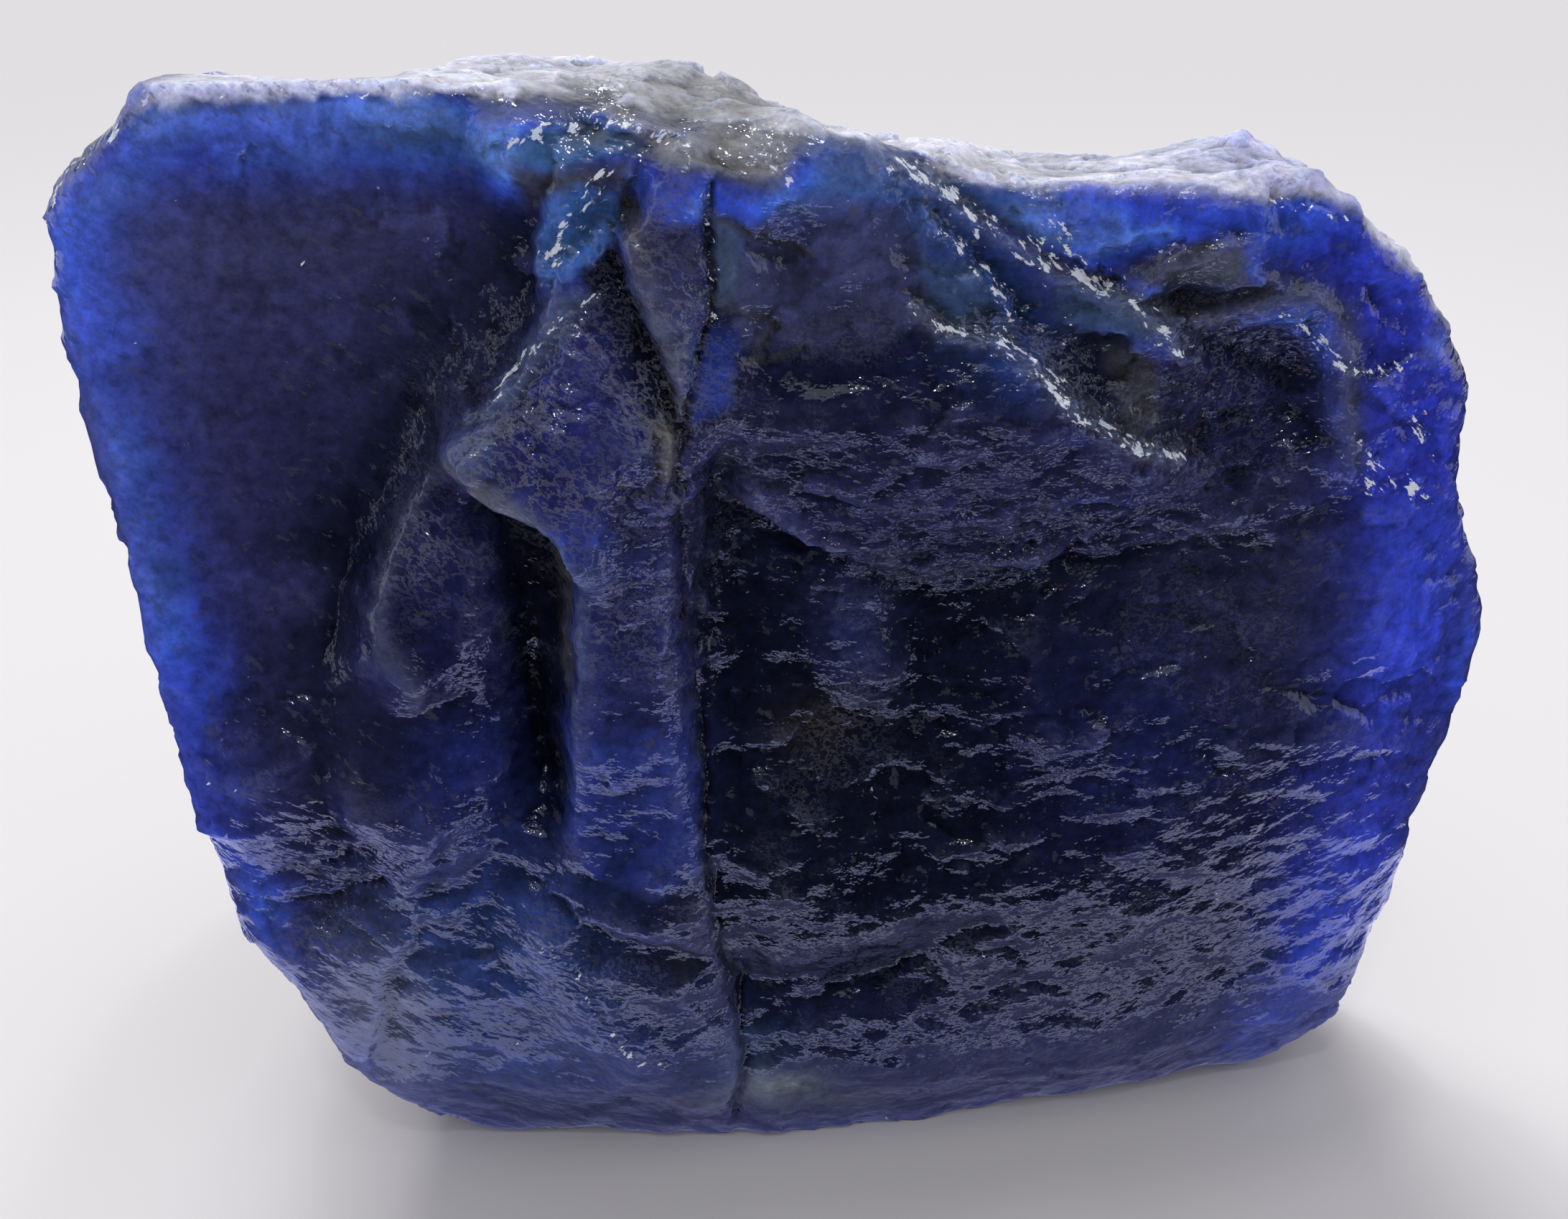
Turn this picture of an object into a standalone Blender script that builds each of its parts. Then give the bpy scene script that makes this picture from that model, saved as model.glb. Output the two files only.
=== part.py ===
"""Rough sapphire: one massive block of translucent blue stone, broken on every side.

The block is first an outline seen from the front, extruded and split along its fracture
planes. Its faces are then carved with named ridges, steps, pits and swells, and it is cut
flat underneath where it rests. Lengths are in millimetres here and become metres in MM.
Axes: X to the right, Y to the back, Z up. The origin is the bottom centre of its box.
"""
import bmesh
import bpy
import numpy as np
from mathutils import Vector, noise

NAME = "rough_sapphire"
MM = 0.001

# Driving dimensions.
SIZE = (172.0, 97.0, 146.0)    # finished width, depth and height
FRONT_Y = -43.0                # plane of the left half of the front face
FRONT_TURN = 0.19              # how fast the right half of the front recedes, per millimetre
BACK_Y = 42.0
BLANK_FRONT_Y = -62.0
BLANK_BACK_Y = 52.0
REST_CUT_Z = 1.6               # height at which the underside is cut flat
REST_SINK = 2.4                # how far the rest patch is pushed down before that cut
REST_CENTRE = (2.0, 0.0)
REST_RADII = (62.0, 32.0)
REST_FLATNESS = 1.6
UNDER_LIFT = 2.2               # how far the underside rises around the rest patch

# Where each face's carving fades in, by position.
FRONT_ZONE = (4.0, -30.0)
BACK_ZONE = (4.0, 30.0)
LEFT_ZONE = (-34.0, -68.0)
RIGHT_ZONE = (42.0, 76.0)
TOP_ZONE = (96.0, 130.0)
UNDER_ZONE = (14.0, 0.0)

# Uneven ground, as (size, height, seed), and how much of it each face keeps.
BUMPS = [(26.0, 1.3, 1), (11.0, 0.7, 2)]
NOISE_OFFSET = Vector((11.3, 4.7, 8.1))
FRONT_CALM = 0.75
TOP_BUMPS = 0.5
UNDER_BUMPS = 0.8

# Mesh resolution.
ROUGH_VOXEL = 2.4
FINE_VOXEL = 1.9
MAX_TRIANGLES = 9200
WELD = 0.01

# Front outline, clockwise from the top left corner, as (x, z).
OUTLINE = [
    (-63, 147.5), (-44, 147.5), (-16, 147.5), (-2, 146), (5, 143.5), (12, 141.5), (20, 138),
    (26, 135.8), (31, 135), (38, 136.5), (45, 136.8), (53, 134.4), (60, 133.2), (66.5, 135.5),
    (70, 131.5), (75, 127.5), (81, 119.5), (85, 112.5), (85.3, 106), (86, 97), (91, 88),
    (94, 80), (94, 69), (92, 59), (89.5, 52), (88.2, 33), (86, 24), (85.5, 14), (82, 6),
    (70, 1), (30, 0), (-40, 0), (-49, 5), (-55, 13), (-60, 22), (-64.5, 33), (-70, 42),
    (-72.5, 54), (-72.8, 68), (-74.6, 75), (-74.6, 88), (-75.5, 98), (-76.2, 111),
    (-76.6, 125), (-75.6, 138),
]

# Fracture planes that trim the extruded outline: a point and the direction thrown away.
PLANES = [
    ((0, FRONT_Y, 0), (0, -1, 0)),
    ((0, FRONT_Y, 0), (FRONT_TURN, -1, 0)),
    ((0, BACK_Y, 90), (0.06, 1, 0.05)),
    ((34, 37, 74), (0.46, 1, -0.20)),
    ((-32, 38, 66), (-0.24, 1, 0.30)),
    ((-62, 36, 80), (-0.72, 1, -0.05)),
    ((-81.5, 0, 90), (-1, 0.10, -0.06)),
    ((84, 8, 80), (1, 0.34, 0.02)),
    ((60, 34, 95), (0.62, 1, 0.18)),
    ((20, 38, 26), (0.12, 1, -0.62)),
    ((-50, 26, 22), (-0.75, 0.8, -0.7)),
    ((74, 22, 16), (0.8, 0.55, -0.9)),
    ((-10, 36, 134), (-0.05, 0.6, 1)),
    ((62, 26, 122), (0.5, 0.65, 1)),
    ((-76, 26, 128), (-1, 0.5, 0.75)),
]

# Top face, as (x, height): how far its back edge lies above the outline.
TOP_BACK_RISE = [
    (-80, -6), (-66, -9), (-52, -8.5), (-47, -6.5), (-41, -5), (-34, -5.5), (-26, -7), (-14, -8),
    (-2, -8), (5, -10.5), (13, -11), (22, -7), (34, -5), (46, -7), (52, -6), (58, -2.5), (66, -3),
    (74, -5), (85, -8),
]

# Front face. Heights are towards the viewer, points are (x, z).
VALLEY = [
    (-20, 131), (-24, 126), (-28, 121), (-34, 114), (-39, 107), (-45, 99), (-51, 91), (-57, 84),
]
CRACK = [
    (-6, 136), (-6, 123), (-8, 117), (-10, 106), (-10, 91), (-9, 78), (-8, 63), (-7, 45),
    (-4, 31), (-4, 23), (-3, 18), (-5, 8),
]
BROW_FOOT = [(-10, 101), (-5, 99), (0, 97), (5, 92), (16, 89), (24, 86), (33, 89), (43, 90), (56, 94)]
BROW_CREST = [(-6, 112), (7, 111), (19, 109), (32, 106), (45, 101), (59, 97)]

# (points, height, radius)
RIDGES = [
    ([(-35, 108), (-38, 106), (-41, 101), (-44, 95), (-47, 89), (-46, 86), (-43, 80)], 3.2, 3.4),
    ([(-24, 124), (-28, 119), (-32, 113), (-35, 110)], 2.6, 4.0),
    ([(-26, 142), (-22, 143), (-16, 143.5), (-12, 142)], 5.0, 3.6),
    ([(-20, 136), (-20, 128)], 5.2, 4.6),
    ([(-10, 131), (-9, 122), (-9, 114)], 1.8, 3.6),
    ([(-64, 66), (-56, 66), (-50, 64), (-44, 59)], 4.2, 7.0),
    ([(42, 125.5), (49, 129.5), (53, 127)], 3.8, 3.0),
    ([(47, 119), (54, 122), (61, 123), (66, 121), (69, 113), (71, 105)], 3.0, 3.0),
    ([(11, 86), (12, 76)], 2.6, 5.5),
    ([(-24, 31), (-20, 26), (-16, 20)], 2.4, 4.0),
    ([(31, 78), (36, 66)], 1.4, 4.0),
    ([(44, 66), (52, 56)], 1.2, 5.0),
    (BROW_CREST, 3.0, 6.5),
]
GROOVES = [
    ([(-31, 100), (-27, 97), (-27, 89), (-28, 80), (-29, 70), (-28, 62)], 9.5, 4.4),
    ([(-15, 127), (-13, 121), (-10, 114)], 5.0, 3.0),
    ([(-35, 76), (-34, 65), (-34, 54), (-38, 40)], 3.0, 5.5),
    ([(-29, 51), (-24, 47), (-22, 42), (-14, 40), (-8, 37)], 2.6, 3.0),
    ([(-61, 47), (-56, 47), (-51, 50)], 1.8, 2.6),
    ([(-4, 30), (6, 29), (15, 31), (24, 36), (30, 37), (44, 36)], 2.4, 4.0),
    ([(2, 137), (3, 133)], 2.4, 4.0),
    ([(47, 124), (52, 122.5)], 2.4, 3.0),
    ([(53, 113), (60, 113)], 2.8, 6.5),
    (CRACK, 2.0, 1.8),
]
# (points, height gained on the left of the walk, half width of the slope, reach)
STEPS = [
    ([(-7, 104), (-10, 91), (-9, 78), (-8, 63), (-7, 45), (-5, 36)], -4.2, 1.4, 46.0),
    ([(-34, 108), (-31, 103.5), (-26, 101), (-23, 97)], 6.0, 1.8, 9.0),
    ([(-22, 103), (-22, 86), (-23, 77), (-25, 66), (-26, 60)], 3.0, 1.6, 7.0),
    ([(14, 138), (20, 134), (28, 131), (34, 127), (44, 122), (50, 117)], -2.6, 1.8, 40.0),
    ([(17, 133), (22, 128), (30, 121), (36, 117)], -2.4, 1.5, 12.0),
    ([(18, 126), (27, 119), (33, 116), (41, 108), (48, 104)], -2.8, 1.8, 30.0),
    ([(60, 74), (72, 70), (86, 65)], -1.4, 1.2, 9.0),
]
# ((x, z), (radius x, radius z), height)
DOMES = [
    ((-21, 112), (10, 12), 6.5),
    ((-20, 44), (11, 12), 2.5),
    ((10, 122), (17, 13), -2.4),
    ((56, 60), (20, 26), 2.6),
    ((-56, 115), (22, 24), -1.4),
    ((18, 66), (18, 20), -1.6),
    ((70, 92), (14, 16), 1.6),
]
VALLEY_DEPTH = 8.0
VALLEY_REACH = 44.0            # width of the long slope on the left of the valley
VALLEY_WALL = 8.0              # width of the short slope on its right
VALLEY_FOOT = (58.0, 82.0)     # heights between which the valley runs out
VALLEY_EDGE = (-76.0, -52.0)   # x between which it rises to the left edge
BROW_DROP = 9.0
BROW_SLOPE = 20.0              # height of the face that leans out above the brow's foot
BROW_FADE = 44.0               # height over which the wall below comes forward again
BROW_LEFT = (-10.0, -5.0)
BROW_RIGHT = (54.0, 84.0)
UNDERCUT = 7.5
UNDERCUT_TOP = 34.0
UNDERCUT_POWER = 1.3
RIM_TURN = 3.0
RIM_X = (78.0, 91.0)

# Back face, as (x, z) seen from the front; heights stand out of the back.
BACK_DOMES = [
    ((-34, 98), (20, 24), -5.5),
    ((20, 116), (26, 14), -4.0),
    ((40, 62), (22, 26), -4.4),
    ((-16, 44), (26, 16), -4.0),
    ((4, 82), (11, 24), 3.4),
    ((-52, 62), (14, 18), 3.0),
    ((22, 34), (16, 10), 2.6),
]
BACK_STEPS = [
    ([(-66, 118), (-44, 124), (-18, 116), (-8, 96), (-12, 74)], 3.0, 2.2, 26.0),
    ([(-6, 122), (10, 104), (34, 98), (60, 104)], 3.6, 2.4, 24.0),
    ([(-52, 40), (-30, 58), (-6, 54), (14, 60), (30, 46)], -3.0, 2.2, 20.0),
    ([(30, 92), (22, 76), (30, 58)], 2.6, 2.0, 16.0),
]
# Left and right faces, as (y, z); heights stand out of the side.
LEFT_DOMES = [((0, 112), (22, 20), -4.0), ((4, 56), (20, 18), 3.2), ((-8, 82), (9, 16), -2.4)]
LEFT_STEPS = [
    ([(-26, 126), (-12, 98), (10, 88), (32, 66)], 3.2, 2.0, 20.0),
    ([(-28, 40), (-6, 34), (14, 46)], -2.4, 1.8, 14.0),
]
RIGHT_DOMES = [((10, 98), (16, 20), -4.2), ((2, 48), (18, 16), -3.2), ((20, 72), (12, 18), 2.6)]
RIGHT_STEPS = [
    ([(-16, 116), (2, 108), (16, 92), (34, 96)], -3.0, 2.0, 16.0),
    ([(-14, 30), (4, 62), (26, 52)], 2.4, 1.8, 14.0),
]
# Top face, as (x, y); heights are up.
TOP_DOMES = [
    ((-36, 20), (10, 12), 1.6), ((-4, -22), (9, 9), 1.4), ((54, 2), (10, 14), 1.6),
    ((30, 0), (16, 18), -1.6), ((-19, -45), (9, 9), -5.0), ((-3, -44), (8, 10), -5.5),
    ((3, -45), (5, 5), -3.0),
]
TOP_STEPS = [
    ([(-78, -18), (-46, -24), (-24, -14), (-8, -22)], 1.4, 1.2, 9.0),
    ([(-66, 16), (-40, -2), (-18, 4), (2, -6)], 1.5, 1.2, 9.0),
    ([(4, -40), (8, -18), (4, 6), (10, 30)], 1.8, 1.6, 10.0),
    ([(22, -30), (34, -8), (52, -14), (70, -2)], 1.3, 1.2, 9.0),
]


def smooth(value):
    """Ease from 0 to 1 as the value does."""
    value = np.clip(value, 0.0, 1.0)
    return value * value * (3.0 - 2.0 * value)


def between(value, limits):
    """Ease from 0 at the first limit to 1 at the second."""
    return smooth((value - limits[0]) / (limits[1] - limits[0]))


def line_distance(u, v, points):
    """Distance to a polyline, and +1 or -1 for the left or the right of the walk."""
    best = np.full(u.shape, 1e9)
    side = np.ones(u.shape)
    for (u0, v0), (u1, v1) in zip(points, points[1:]):
        du, dv = u1 - u0, v1 - v0
        along = np.clip(((u - u0) * du + (v - v0) * dv) / (du * du + dv * dv), 0.0, 1.0)
        gap_u = u - (u0 + along * du)
        gap_v = v - (v0 + along * dv)
        distance = np.hypot(gap_u, gap_v)
        nearer = distance < best
        best = np.where(nearer, distance, best)
        side = np.where(nearer, np.sign(du * gap_v - dv * gap_u), side)
    return best, side


def swell(u, v, points, height, radius):
    """A round ridge along a polyline."""
    distance, _ = line_distance(u, v, points)
    return height * np.exp(-((distance / radius) ** 2))


def step(u, v, points, height, slope, reach):
    """Ground raised on the left of a polyline, level again beyond its reach."""
    distance, side = line_distance(u, v, points)
    return height * smooth(0.5 + 0.5 * side * distance / slope) * (1.0 - smooth(distance / reach))


def dome(u, v, centre, radii, height):
    """An oval swell or scoop."""
    spread = ((u - centre[0]) / radii[0]) ** 2 + ((v - centre[1]) / radii[1]) ** 2
    return height * np.exp(-spread)


def profile(u, points):
    """Height read along a short list of (position, height)."""
    return np.interp(u, [p[0] for p in points], [p[1] for p in points])


def front_relief(x, z):
    """How far the front face stands towards the viewer."""
    relief = np.zeros(x.shape)
    for ridge in RIDGES:
        relief += swell(x, z, *ridge)
    for groove in GROOVES:
        relief -= swell(x, z, *groove)
    for ledge in STEPS:
        relief += step(x, z, *ledge)
    for oval in DOMES:
        relief += dome(x, z, *oval)
    distance, side = line_distance(x, z, VALLEY)
    slope = smooth(1.0 - distance / np.where(side < 0, VALLEY_REACH, VALLEY_WALL))
    relief -= VALLEY_DEPTH * slope * between(z, VALLEY_FOOT) * between(x, VALLEY_EDGE)
    distance, side = line_distance(x, z, BROW_FOOT)
    slope = smooth(1.0 - distance / np.where(side > 0, BROW_SLOPE, BROW_FADE))
    relief -= BROW_DROP * slope * between(x, BROW_LEFT) * (1.0 - between(x, BROW_RIGHT))
    relief -= UNDERCUT * smooth(1.0 - z / UNDERCUT_TOP) ** UNDERCUT_POWER
    relief -= RIM_TURN * between(x, RIM_X)
    return relief


def face_relief(u, v, domes, steps):
    """Swells and ledges of a plain side."""
    relief = np.zeros(u.shape)
    for oval in domes:
        relief += dome(u, v, *oval)
    for ledge in steps:
        relief += step(u, v, *ledge)
    return relief


def broken_noise(points, size, seed):
    """Uneven, slightly stepped ground, seeded by its offset."""
    values = np.empty(len(points))
    for index, point in enumerate(points):
        place = Vector(point) / size + NOISE_OFFSET * seed
        values[index] = noise.hetero_terrain(place, 0.9, 2.1, 3, 0.6)
    return values - values.mean()


def new_object(name, mesh, collection):
    """A mesh object in a collection."""
    obj = bpy.data.objects.new(name, mesh)
    collection.objects.link(obj)
    return obj


def evaluated_mesh(obj):
    """The object's mesh with its modifiers, as data of its own."""
    graph = bpy.context.evaluated_depsgraph_get()
    graph.update()
    return bpy.data.meshes.new_from_object(obj.evaluated_get(graph))


def replace_mesh(obj, mesh):
    """Give the object the finished mesh and drop the modifiers that made it."""
    obj.modifiers.clear()
    obj.data = mesh


def extruded_outline(collection):
    """The front outline, extruded through the depth of the blank."""
    curve = bpy.data.curves.new("front_outline", "CURVE")
    curve.dimensions = "2D"
    curve.fill_mode = "BOTH"
    curve.extrude = (BLANK_BACK_Y - BLANK_FRONT_Y) / 2.0
    spline = curve.splines.new("POLY")
    spline.points.add(len(OUTLINE) - 1)
    for point, (x, z) in zip(spline.points, OUTLINE):
        point.co = (x, z, 0.0, 1.0)
    spline.use_cyclic_u = True
    outline = new_object("front_outline", curve, collection)
    mesh = evaluated_mesh(outline)
    bpy.data.objects.remove(outline)
    centre_y = (BLANK_BACK_Y + BLANK_FRONT_Y) / 2.0
    for vertex in mesh.vertices:
        x, z, depth = vertex.co
        vertex.co = (x, centre_y - depth, z)
    return mesh


def split_block(mesh):
    """Trim the blank along its fracture planes."""
    blank = bmesh.new()
    blank.from_mesh(mesh)
    bmesh.ops.remove_doubles(blank, verts=blank.verts, dist=WELD)
    for point, direction in PLANES:
        geometry = blank.verts[:] + blank.edges[:] + blank.faces[:]
        bmesh.ops.bisect_plane(
            blank, geom=geometry, plane_co=point, plane_no=Vector(direction).normalized(),
            clear_outer=True,
        )
        rim = [edge for edge in blank.edges if edge.is_boundary]
        bmesh.ops.holes_fill(blank, edges=rim, sides=0)
    bmesh.ops.recalc_face_normals(blank, faces=blank.faces)
    blank.to_mesh(mesh)
    blank.free()


def remeshed(obj, voxel):
    """Resample the surface evenly."""
    resample = obj.modifiers.new("resample", "REMESH")
    resample.mode = "VOXEL"
    resample.voxel_size = voxel
    replace_mesh(obj, evaluated_mesh(obj))


def read_points(mesh):
    """Vertex positions as an array."""
    points = np.empty(len(mesh.vertices) * 3, dtype=np.float32)
    mesh.vertices.foreach_get("co", points)
    return points.reshape(-1, 3).astype(float)


def write_points(mesh, points):
    """Move the vertices to an array of positions."""
    mesh.vertices.foreach_set("co", points.astype(np.float32).ravel())
    mesh.update()


def carve(mesh):
    """Move the block's surface to its ridges, ledges, pits and swells."""
    points = read_points(mesh)
    x, y, z = points.T.copy()
    front = between(y, FRONT_ZONE)
    back = between(y, BACK_ZONE)
    left = between(x, LEFT_ZONE)
    right = between(x, RIGHT_ZONE)
    top = between(z, TOP_ZONE)
    under = between(z, UNDER_ZONE)
    bumps = sum(height * broken_noise(points, size, seed) for size, height, seed in BUMPS)
    side_bumps = bumps * (1.0 - FRONT_CALM * front)
    left_relief = face_relief(y, z, LEFT_DOMES, LEFT_STEPS) * (1.0 - front)
    right_relief = face_relief(y, z, RIGHT_DOMES, RIGHT_STEPS) * (1.0 - front)
    top_relief = face_relief(x, y, TOP_DOMES, TOP_STEPS)
    top_relief += profile(x, TOP_BACK_RISE) * between(y, (FRONT_Y, BACK_Y))
    patch = smooth(dome(x, y, REST_CENTRE, REST_RADII, REST_FLATNESS))
    points[:, 1] -= front * front_relief(x, z)
    points[:, 1] += back * (face_relief(x, z, BACK_DOMES, BACK_STEPS) + bumps)
    points[:, 0] -= left * (left_relief + side_bumps)
    points[:, 0] += right * (right_relief + side_bumps)
    points[:, 2] += top * (top_relief + TOP_BUMPS * side_bumps)
    points[:, 2] += under * (UNDER_BUMPS * bumps + UNDER_LIFT - (UNDER_LIFT + REST_SINK) * patch)
    write_points(mesh, points)


def lighten(obj):
    """Bring the mesh down to its triangle budget."""
    triangles = sum(len(face.vertices) - 2 for face in obj.data.polygons)
    thin = obj.modifiers.new("thin", "DECIMATE")
    thin.ratio = MAX_TRIANGLES / triangles
    thin.use_collapse_triangulate = True
    replace_mesh(obj, evaluated_mesh(obj))


def cut_rest_face(mesh):
    """Cut the underside flat where the stone rests."""
    stone = bmesh.new()
    stone.from_mesh(mesh)
    geometry = stone.verts[:] + stone.edges[:] + stone.faces[:]
    bmesh.ops.bisect_plane(
        stone, geom=geometry, plane_co=(0, 0, REST_CUT_Z), plane_no=(0, 0, -1), clear_outer=True,
    )
    bmesh.ops.remove_doubles(stone, verts=stone.verts, dist=WELD)
    rim = [edge for edge in stone.edges if edge.is_boundary]
    bmesh.ops.holes_fill(stone, edges=rim, sides=0)
    bmesh.ops.triangulate(stone, faces=stone.faces)
    bmesh.ops.recalc_face_normals(stone, faces=stone.faces)
    stone.to_mesh(mesh)
    stone.free()


def place_on_origin(mesh):
    """Bring the stone to its finished size in metres, bottom centre of its box on the origin."""
    points = read_points(mesh)
    low, high = points.min(axis=0), points.max(axis=0)
    middle = np.array([(low[0] + high[0]) / 2.0, (low[1] + high[1]) / 2.0, low[2]])
    write_points(mesh, (points - middle) * np.array(SIZE) / (high - low) * MM)


def sapphire_material():
    """Deep blue stone with a wet gloss."""
    material = bpy.data.materials.new("deep_blue_sapphire")
    material.use_nodes = True
    shader = material.node_tree.nodes["Principled BSDF"]
    shader.inputs["Base Color"].default_value = (0.012, 0.03, 0.22, 1.0)
    shader.inputs["Roughness"].default_value = 0.16
    shader.inputs["Metallic"].default_value = 0.0
    shader.inputs["IOR"].default_value = 1.77
    return material


def build():
    """Make the stone."""
    for obj in list(bpy.data.objects):
        bpy.data.objects.remove(obj)
    collection = bpy.data.collections.new(NAME)
    bpy.context.scene.collection.children.link(collection)
    mesh = extruded_outline(collection)
    split_block(mesh)
    stone = new_object(NAME, mesh, collection)
    remeshed(stone, ROUGH_VOXEL)
    carve(stone.data)
    remeshed(stone, FINE_VOXEL)
    lighten(stone)
    cut_rest_face(stone.data)
    place_on_origin(stone.data)
    stone.data.materials.append(sapphire_material())


build()
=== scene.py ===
"""The rough sapphire as it looks: one finely broken, translucent blue stone on a plain pale floor."""

import math

import bmesh
import bpy
import numpy as np
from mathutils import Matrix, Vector, noise
from mathutils.bvhtree import BVHTree


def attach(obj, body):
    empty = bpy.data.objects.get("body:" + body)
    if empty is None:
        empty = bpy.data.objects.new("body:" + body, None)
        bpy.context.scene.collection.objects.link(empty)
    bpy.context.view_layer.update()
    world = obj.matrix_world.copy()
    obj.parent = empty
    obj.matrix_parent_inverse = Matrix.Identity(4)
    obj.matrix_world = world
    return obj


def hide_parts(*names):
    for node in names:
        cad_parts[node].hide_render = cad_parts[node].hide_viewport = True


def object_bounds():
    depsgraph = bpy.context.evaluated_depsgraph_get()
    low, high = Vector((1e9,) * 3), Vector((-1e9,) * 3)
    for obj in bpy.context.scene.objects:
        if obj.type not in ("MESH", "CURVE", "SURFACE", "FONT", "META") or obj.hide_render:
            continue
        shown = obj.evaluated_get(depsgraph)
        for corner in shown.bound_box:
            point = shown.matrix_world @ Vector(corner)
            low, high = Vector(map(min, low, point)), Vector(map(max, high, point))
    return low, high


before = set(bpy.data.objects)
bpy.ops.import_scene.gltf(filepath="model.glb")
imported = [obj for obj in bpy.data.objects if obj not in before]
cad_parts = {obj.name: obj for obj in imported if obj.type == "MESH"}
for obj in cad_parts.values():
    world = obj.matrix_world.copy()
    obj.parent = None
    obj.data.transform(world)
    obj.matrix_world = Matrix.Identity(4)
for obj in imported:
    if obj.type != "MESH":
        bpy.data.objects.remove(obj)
cad_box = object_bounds()

MM = 0.001
NODE = "rough_sapphire"
BODY = "root"

# The carving's own zero lies here in the frame, in mm. All lines below are (x, z) from that zero.
CARVING_ZERO = np.array([-8.24, 1.36, -1.6])

# Camera: a phone held about one stone width away, looking down at the front.
CAMERA_PLACE = (-6.24, -206.6, 164.9)
CAMERA_PITCH = 25.06
LENS_MM = 36.0
SENSOR_MM = 36.0
NEAREST = 1.0

# Mesh: sizes in mm, rounds of evening out, and the share moved in each
VOXEL = 0.75
WELD = 0.001
MAX_TRIANGLES = 188000
BOX_MARGIN = 0.03
EVEN_RATE = 0.5
RELAX_ROUNDS = 16
RELAX_RATE = 0.55
LOST_ROUNDS = 2
RIM_KEPT = (0.2, 0.6)
SHARPEN_ROUNDS = 30
SHARPEN_GAIN = 0.9
SHARPEN_MOST = 1.8
EDGE_GAIN = 1.2
EDGE_REACH = (5.0, 2.0)
EDGE_DEPTH = (-28.0, -34.0)

# Parts of the front: how far the surface turns towards -y, and its y. Each pair of limits eases
# from 0 at its first value to 1 at its second.
LEVELLED = ((0.0, 0.3), (-5.0, -22.0))
CARVED = ((0.25, 0.6), (-5.0, -22.0))
PAINTED = ((0.1, 0.5), (-5.0, -20.0))
RIM = ((0.35, 0.1), (-20.0, -30.0))

# Noise: how far it moves from seed to seed, and how much the cells of bites and breaks are bent
SEED_SHIFT = np.array([17.3, 5.9, 11.7])
BEND_SEED = 40
BITE_BEND = 0.35
BITE_SHIFT = 3.7
BREAK_BEND = 0.4
BREAK_SHIFT = 2.9
# The tilts of the breaks start here; without a start of their own they follow the clock
TILT_SEED = 11
TILT_STRIDE = 9.7
# Layers of noise: (share, size or (size x, size y, size z), seed)
RIPPLES = [(1.0, (13, 9, 6), 3), (0.55, (6, 5, 3), 4)]
CREASES = [(0.5, (8, 6, 3.4), 5)]
FINE_RIPPLES = [(0.3, (3, 3, 1.6), 6)]
LUMPS = [(1.0, (19, 19, 15), 7)]
BITES = [(1.0, (10, 10, 7), 8), (0.45, (5, 5, 3.5), 9)]
BREAKS = [(1.0, (9, 9, 6), 10), (0.5, (4.5, 4.5, 2.8), 11)]
CHIPS = [(1.0, (6, 6, 5), 12)]
CLOUDS = [(1.0, 11, 21), (0.5, 5, 22)]
SHORE_WOBBLE = [(0.4, 3, 31), (0.3, 1.5, 32)]
# The same for lines, patches and areas, once for x and once for z
LINE_WOBBLE = ([(0.8, 5, 1), (0.6, 2, 13)], [(0.8, 5, 2), (0.6, 2, 14)])
PATCH_WOBBLE = ([(2.5, 8, 23)], [(2.5, 8, 24)])
AREA_WOBBLE = ([(0.5, 4, 25), (0.4, 1.6, 27)], [(0.5, 4, 26), (0.4, 1.6, 28)])
# Heights of the broken skin, in mm
RIPPLE_HEIGHT = 0.45
LUMP_HEIGHT = 0.8
BITE_HEIGHT = 0.8
BREAK_HEIGHT = 1.9
CHIP_DEPTH = 1.5
CHIP_RANGE = (0.3, 0.7)
CHIP_SIZE = 0.6

# Lines on the front face. The walk goes from the first point to the last.
CRACK = [
    (-6, 138), (-6, 133), (-6, 128), (-6, 123), (-7, 121), (-8, 117), (-9, 112), (-10, 106),
    (-10, 101), (-10, 91), (-10, 84), (-9, 78), (-8, 70), (-8, 63), (-8, 54), (-7, 45), (-6, 37),
    (-4, 31), (-4, 28), (-4, 23), (-3, 21), (-3, 18), (-4, 14), (-5, 11), (-5, 6),
]
EAR = [(-35, 108), (-38, 105), (-41, 101), (-43, 97), (-44.5, 92), (-45, 88), (-43, 83), (-41, 78)]
SHOULDER = [(-22.5, 126), (-25, 121.5), (-28, 118), (-31, 114), (-34.5, 110.5)]
OVERHANG = [(-35, 108), (-31, 104.5), (-27, 101.5), (-24, 97.5)]
PILLAR_EDGE = [(-22.5, 101), (-22.5, 86), (-23.5, 77), (-25, 67), (-25.5, 61)]
GULLY_EDGE = [(-33, 104), (-31.5, 90), (-30.5, 78), (-30, 66)]
RECESS = [(-16.5, 129), (-14, 122), (-11.6, 116), (-11, 111.5)]
RECESS_EDGE = [(-15, 131), (-12.3, 125), (-10.2, 118.5), (-9.6, 113)]
BROW_EDGE = [
    (-10, 101), (-5, 99), (0, 97), (4, 93), (6, 91), (16, 89), (21, 87), (24, 86), (30, 88),
    (33, 90), (43, 90), (55, 93),
]
TERRACE_HIGH = [(14, 139), (20, 135), (24, 131.5), (29, 128.5), (35, 125.5), (42, 122.5), (48, 117)]
TERRACE_MIDDLE = [(19, 132), (22, 129), (25, 126), (28, 121.5)]
TERRACE_LOW = [(17, 123), (20, 120.5), (27, 119.5), (31, 115.5), (37, 110), (44, 106), (49, 104)]
PEAK = [(40, 125.5), (45, 127.5), (49, 129), (51.5, 129.3)]
PEAK_FOOT = [(43, 123.2), (50, 124), (57, 124)]
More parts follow.
